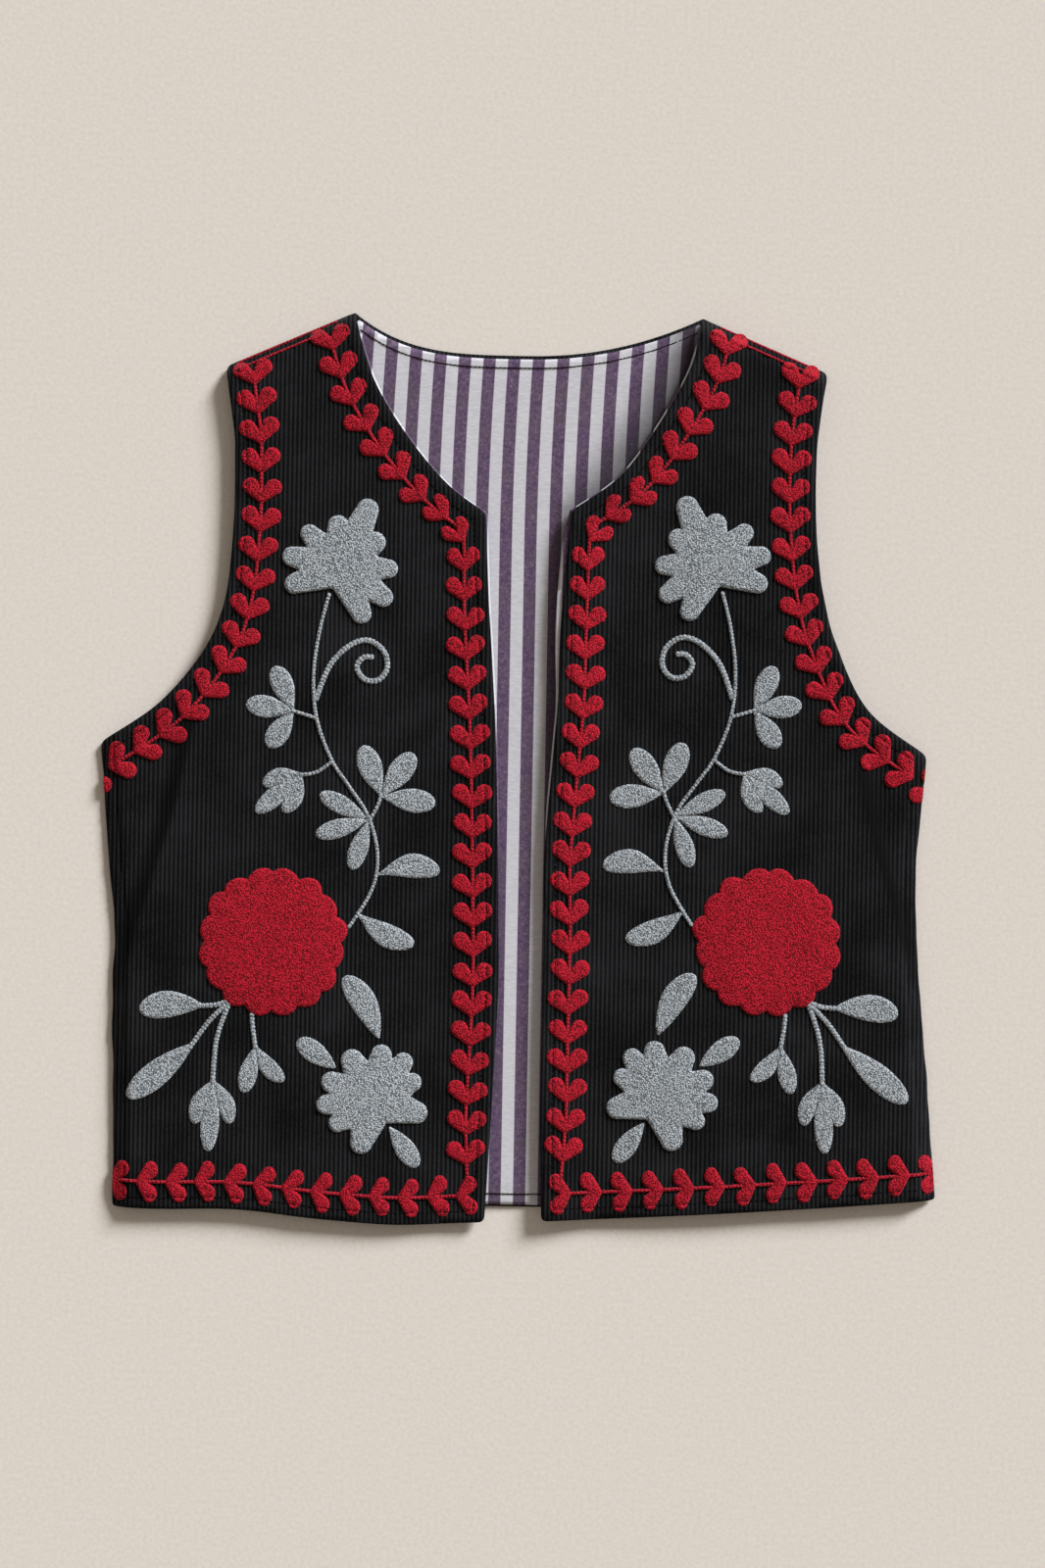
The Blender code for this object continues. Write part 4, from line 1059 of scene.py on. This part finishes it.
def layVine(target, lineTarget, sideName, run, row):
    count, first, last, lengthShare = row
    room = runLength(run) - first - last
    for i in range(count):
        along = first + room * i / (count - 1)
        tip = pastEnds(run, along)
        behind = pastEnds(run, along - hearts["lookBack"])
        tilt = random.uniform(-hearts["tilt"], hearts["tilt"])
        angle = math.atan2(tip.y - behind.y, tip.x - behind.x) + tilt
        size = random.uniform(*hearts["sizes"]) * lengthShare
        breadth = random.uniform(*hearts["sizes"]) * (1.0 - hearts["squeeze"] * nearNeckCorner(sideName, tip))
        turn = (Matrix.Translation((tip.x, tip.y, 0.0)) @ Matrix.Rotation(angle, 4, "Z")
                @ Matrix.Diagonal((size, breadth, 1.0, 1.0)))
        layPad(target, heartPad, turn, sideName, yarn["heart"], hearts["crown"])
    start = first - hearts["lineAhead"]
    total = runLength(run)
    line = [pastEnds(run, start + (total - start) * i / 200.0) for i in range(201)]
    height, lift = yarn["vineLine"]
    layLinks(lineTarget, line, lambda x, y: clothTop(sideName, x, y) + lift, yarn["linkLength"],
             lineWidths["vine"], height, yarn["linkPitch"])


def emptyMesh():
    bm = bmesh.new()
    bm.verts.layers.float.new("rim")
    return bm


def buildVines(sideName):
    runs = vineRuns(sideName)
    front, lines = emptyMesh(), emptyMesh()
    for name in ("neckAndFront", "hem"):
        layVine(front, lines, sideName, runs[name], hearts[name])
    finishPiece(sideName + "FrontVine", front, materials["red"],
                ["front_vine_" + sideName])
    finishPiece(sideName + "FrontVineLine", lines, materials["redLine"])
    armhole, lines = emptyMesh(), emptyMesh()
    layVine(armhole, lines, sideName, runs["armhole"], hearts["armhole"][sideName])
    finishPiece(sideName + "ArmholeVine", armhole, materials["red"],
                ["armhole_vine_" + sideName])
    finishPiece(sideName + "ArmholeVineLine", lines, materials["redLine"])


def layOutline(target, sideName, outline, height, crown=0.0):
    placed = [placeMotif(sideName, p.x, p.y) for p in outline]
    pad = padTemplate(placed, yarn["step"])
    layPad(target, pad, Matrix.Identity(4), sideName, height, crown)
    bpy.data.meshes.remove(pad)


def layStems(target, sideName, stems, width):
    height, lift = yarn["stemLine"]
    for stem in stems:
        run = [placeMotif(sideName, p.x, p.y) for p in curvePoints(stem, 10)]
        layLinks(target, run, lambda x, y: clothTop(sideName, x, y) + lift, yarn["linkLength"], width, height,
                 yarn["linkPitch"])


def scallopedOutline():
    rosette = motif["rosette"]
    outline = []
    for i in range(rosette["scallops"] * 12):
        angle = 2.0 * math.pi * i / (rosette["scallops"] * 12)
        bulge = abs(math.sin(angle * rosette["scallops"] / 2.0)) ** 0.8
        uneven = noise.noise(Vector((math.cos(angle), math.sin(angle), 0.4)) * 2.4)
        radius = rosette["radius"] + rosette["uneven"] * uneven - rosette["bulge"] * (1.0 - bulge)
        outline.append(around(Vector(rosette["centre"]), radius, angle))
    return outline


def buildFlowers(sideName):
    # outline, colour, node, and how much the middle swells
    flowers = {
        "Rosette": (scallopedOutline(), "red", "rosette_", 0.9),
        "FanFlower": (flowerOutline(motif["fanFlower"]), "grey", "fan_flower_", 0.3),
        "RoundFlower": (flowerOutline(motif["roundFlower"]), "grey", "round_flower_", 0.4),
    }
    for name, (outline, colour, node, crown) in flowers.items():
        bm = emptyMesh()
        layOutline(bm, sideName, outline, yarn["flower"] - crown * 0.5, crown)
        finishPiece(sideName + name, bm, materials[colour], [node + sideName])


def buildSprays(sideName):
    sprays = {
        "StemSpray": ([motif["mainStem"], *motif["stemLinks"]], motif["stemLeaves"], "stem_spray_"),
        "RootSpray": (motif["rootStems"], motif["rootLeaves"], "root_spray_"),
        "SmallSprig": (motif["sprigStems"], motif["sprigLeaves"], "small_sprig_"),
        "DropLeaf": ([], [motif["dropLeaf"]], "drop_leaf_"),
        "UpperLeaf": ([], [motif["upperLeaf"]], "upper_leaf_"),
        "LowerLeaf": ([], [motif["lowerLeaf"]], "lower_leaf_"),
    }
    for name, (stems, leaves, node) in sprays.items():
        bm = emptyMesh()
        for leaf in leaves:
            layOutline(bm, sideName, leafOutline(*leaf), yarn["leaf"])
        finishPiece(sideName + name, bm, materials["grey"], [node + sideName])
        if stems:
            lines = emptyMesh()
            layStems(lines, sideName, stems, lineWidths[name])
            if name == "StemSpray":
                layStems(lines, sideName, [motif["tendril"]], lineWidths["tendril"])
            finishPiece(sideName + name + "Line", lines, materials["greyLine"])


for sideName in sides:
    buildVines(sideName)
    buildFlowers(sideName)
    buildSprays(sideName)
    print(sideName, "embroidery ready")


# Red chain lines along the shoulder seam and on the fold beside it
# runs: start and end as shares of the seam, from the armhole in, and the drop below it
shoulderLine = {"runs": [(0.14, 0.66, 5.2), (0.10, 0.86, 0.8)], "lift": 0.1, "length": 3.0, "width": 1.8,
                "height": 1.2, "pitch": 2.2}
# Black topstitching; on the lining the stitches nearly touch
stitching = {"length": 2.9, "gap": 0.5, "liningGap": -0.4, "width": 0.9, "height": 0.5,
             "lift": 0.05, "overYarn": 0.1, "overLining": 0.12, "backNeckIn": 7.5, "backHemIn": 8.6}


def buildShoulderLines(sideName):
    bm = emptyMesh()
    outer, inner = sides[sideName]["shoulderSeam"]
    for start, end, drop in shoulderLine["runs"]:
        shares = [start + (end - start) * i / 20.0 for i in range(21)]
        run = [outer.lerp(inner, share) - Vector((0.0, drop)) for share in shares]
        layLinks(bm, run, lambda x, y: clothTop(sideName, x, y) + shoulderLine["lift"],
                 shoulderLine["length"], shoulderLine["width"], shoulderLine["height"], shoulderLine["pitch"])
    finishPiece(sideName + "ShoulderLine", bm, materials["redLine"])


def buildTopstitch(name, run, heightAt, gap):
    bm = bmesh.new()
    layLinks(bm, run, heightAt, stitching["length"], stitching["width"], stitching["height"],
             stitching["length"] + gap)
    finishPiece(name, bm, materials["thread"])


def joinedRuns(runs):
    joined = runs[0]
    for run in runs[1:]:
        joined, rest = cutAtCorner(joined, run)
        joined += rest[1:]
    return joined


def frontTopstitch(sideName):
    side, inset = sides[sideName], corduroy["stitchIn"]
    yarnTops = kdtree.KDTree(len(stitchedYarn[sideName]))
    for i, top in enumerate(stitchedYarn[sideName]):
        yarnTops.insert((top.x, top.y, 0.0), i)
    yarnTops.balance()

    def stitchHeight(x, y):
        # the thread lies on the cloth, or on the patch that it crosses
        _, nearest, distance = yarnTops.find((x, y, 0.0))
        cloth = clothTop(sideName, x, y) + stitching["lift"]
        if distance > stitching["width"]:
            return cloth
        return max(cloth, stitchedYarn[sideName][nearest].z + stitching["overYarn"])

    edge = joinedRuns(edgeRuns(side, inset, inset, inset))
    for name, run in (("EdgeTopstitch", edge), ("ArmholeTopstitch", armholeRun(side, inset))):
        buildTopstitch(sideName + name, run[1:-1], stitchHeight, stitching["gap"])


def overLining(x, y):
    return liningHeight(x, y) + stitching["overLining"]


for sideName in sides:
    buildShoulderLines(sideName)
    frontTopstitch(sideName)
neckStitch = [Vector((x, neckHeight(x) - stitching["backNeckIn"])) for x in range(-102, 103, 4)]
buildTopstitch("backNeckTopstitch", neckStitch, overLining, stitching["liningGap"])
hemStitch = [Vector((x, back["hemY"] + stitching["backHemIn"])) for x in range(-40, 41, 4)]
buildTopstitch("backHemTopstitch", hemStitch, overLining, stitching["liningGap"])
print("stitching ready")


# Floor, lights and surroundings

bpy.ops.mesh.primitive_plane_add(size=6.0, location=(0.0, 0.0, 0.0))
floor = bpy.context.object
floor.name = "paperFloor"
floor.data.materials.append(materials["paper"])

# A soft key from the upper right, low enough to throw the garment's shadow down and left
key = {"towards": (1.0, 1.05, 0.64), "spread": 20.0, "strength": 5.83, "colour": "#f4f9ff"}
keyData = bpy.data.lights.new("softKey", "SUN")
keyData.energy = key["strength"]
keyData.color = linear(key["colour"])[:3]
keyData.angle = math.radians(key["spread"])
keyLamp = bpy.data.objects.new("softKey", keyData)
keyLamp.rotation_euler = Vector(key["towards"]).to_track_quat("Z", "Y").to_euler()
bpy.context.scene.collection.objects.link(keyLamp)

# Warm light from all round, which fills the shadows
fill = {"strength": 0.31, "colour": "#fff4e6"}
world = bpy.data.worlds.new("softStudio")
world.use_nodes = True
background = world.node_tree.nodes["Background"]
background.inputs["Color"].default_value = linear(fill["colour"])
background.inputs["Strength"].default_value = fill["strength"]
bpy.context.scene.world = world
bpy.context.scene.view_settings.view_transform = "Standard"
print("stage ready")
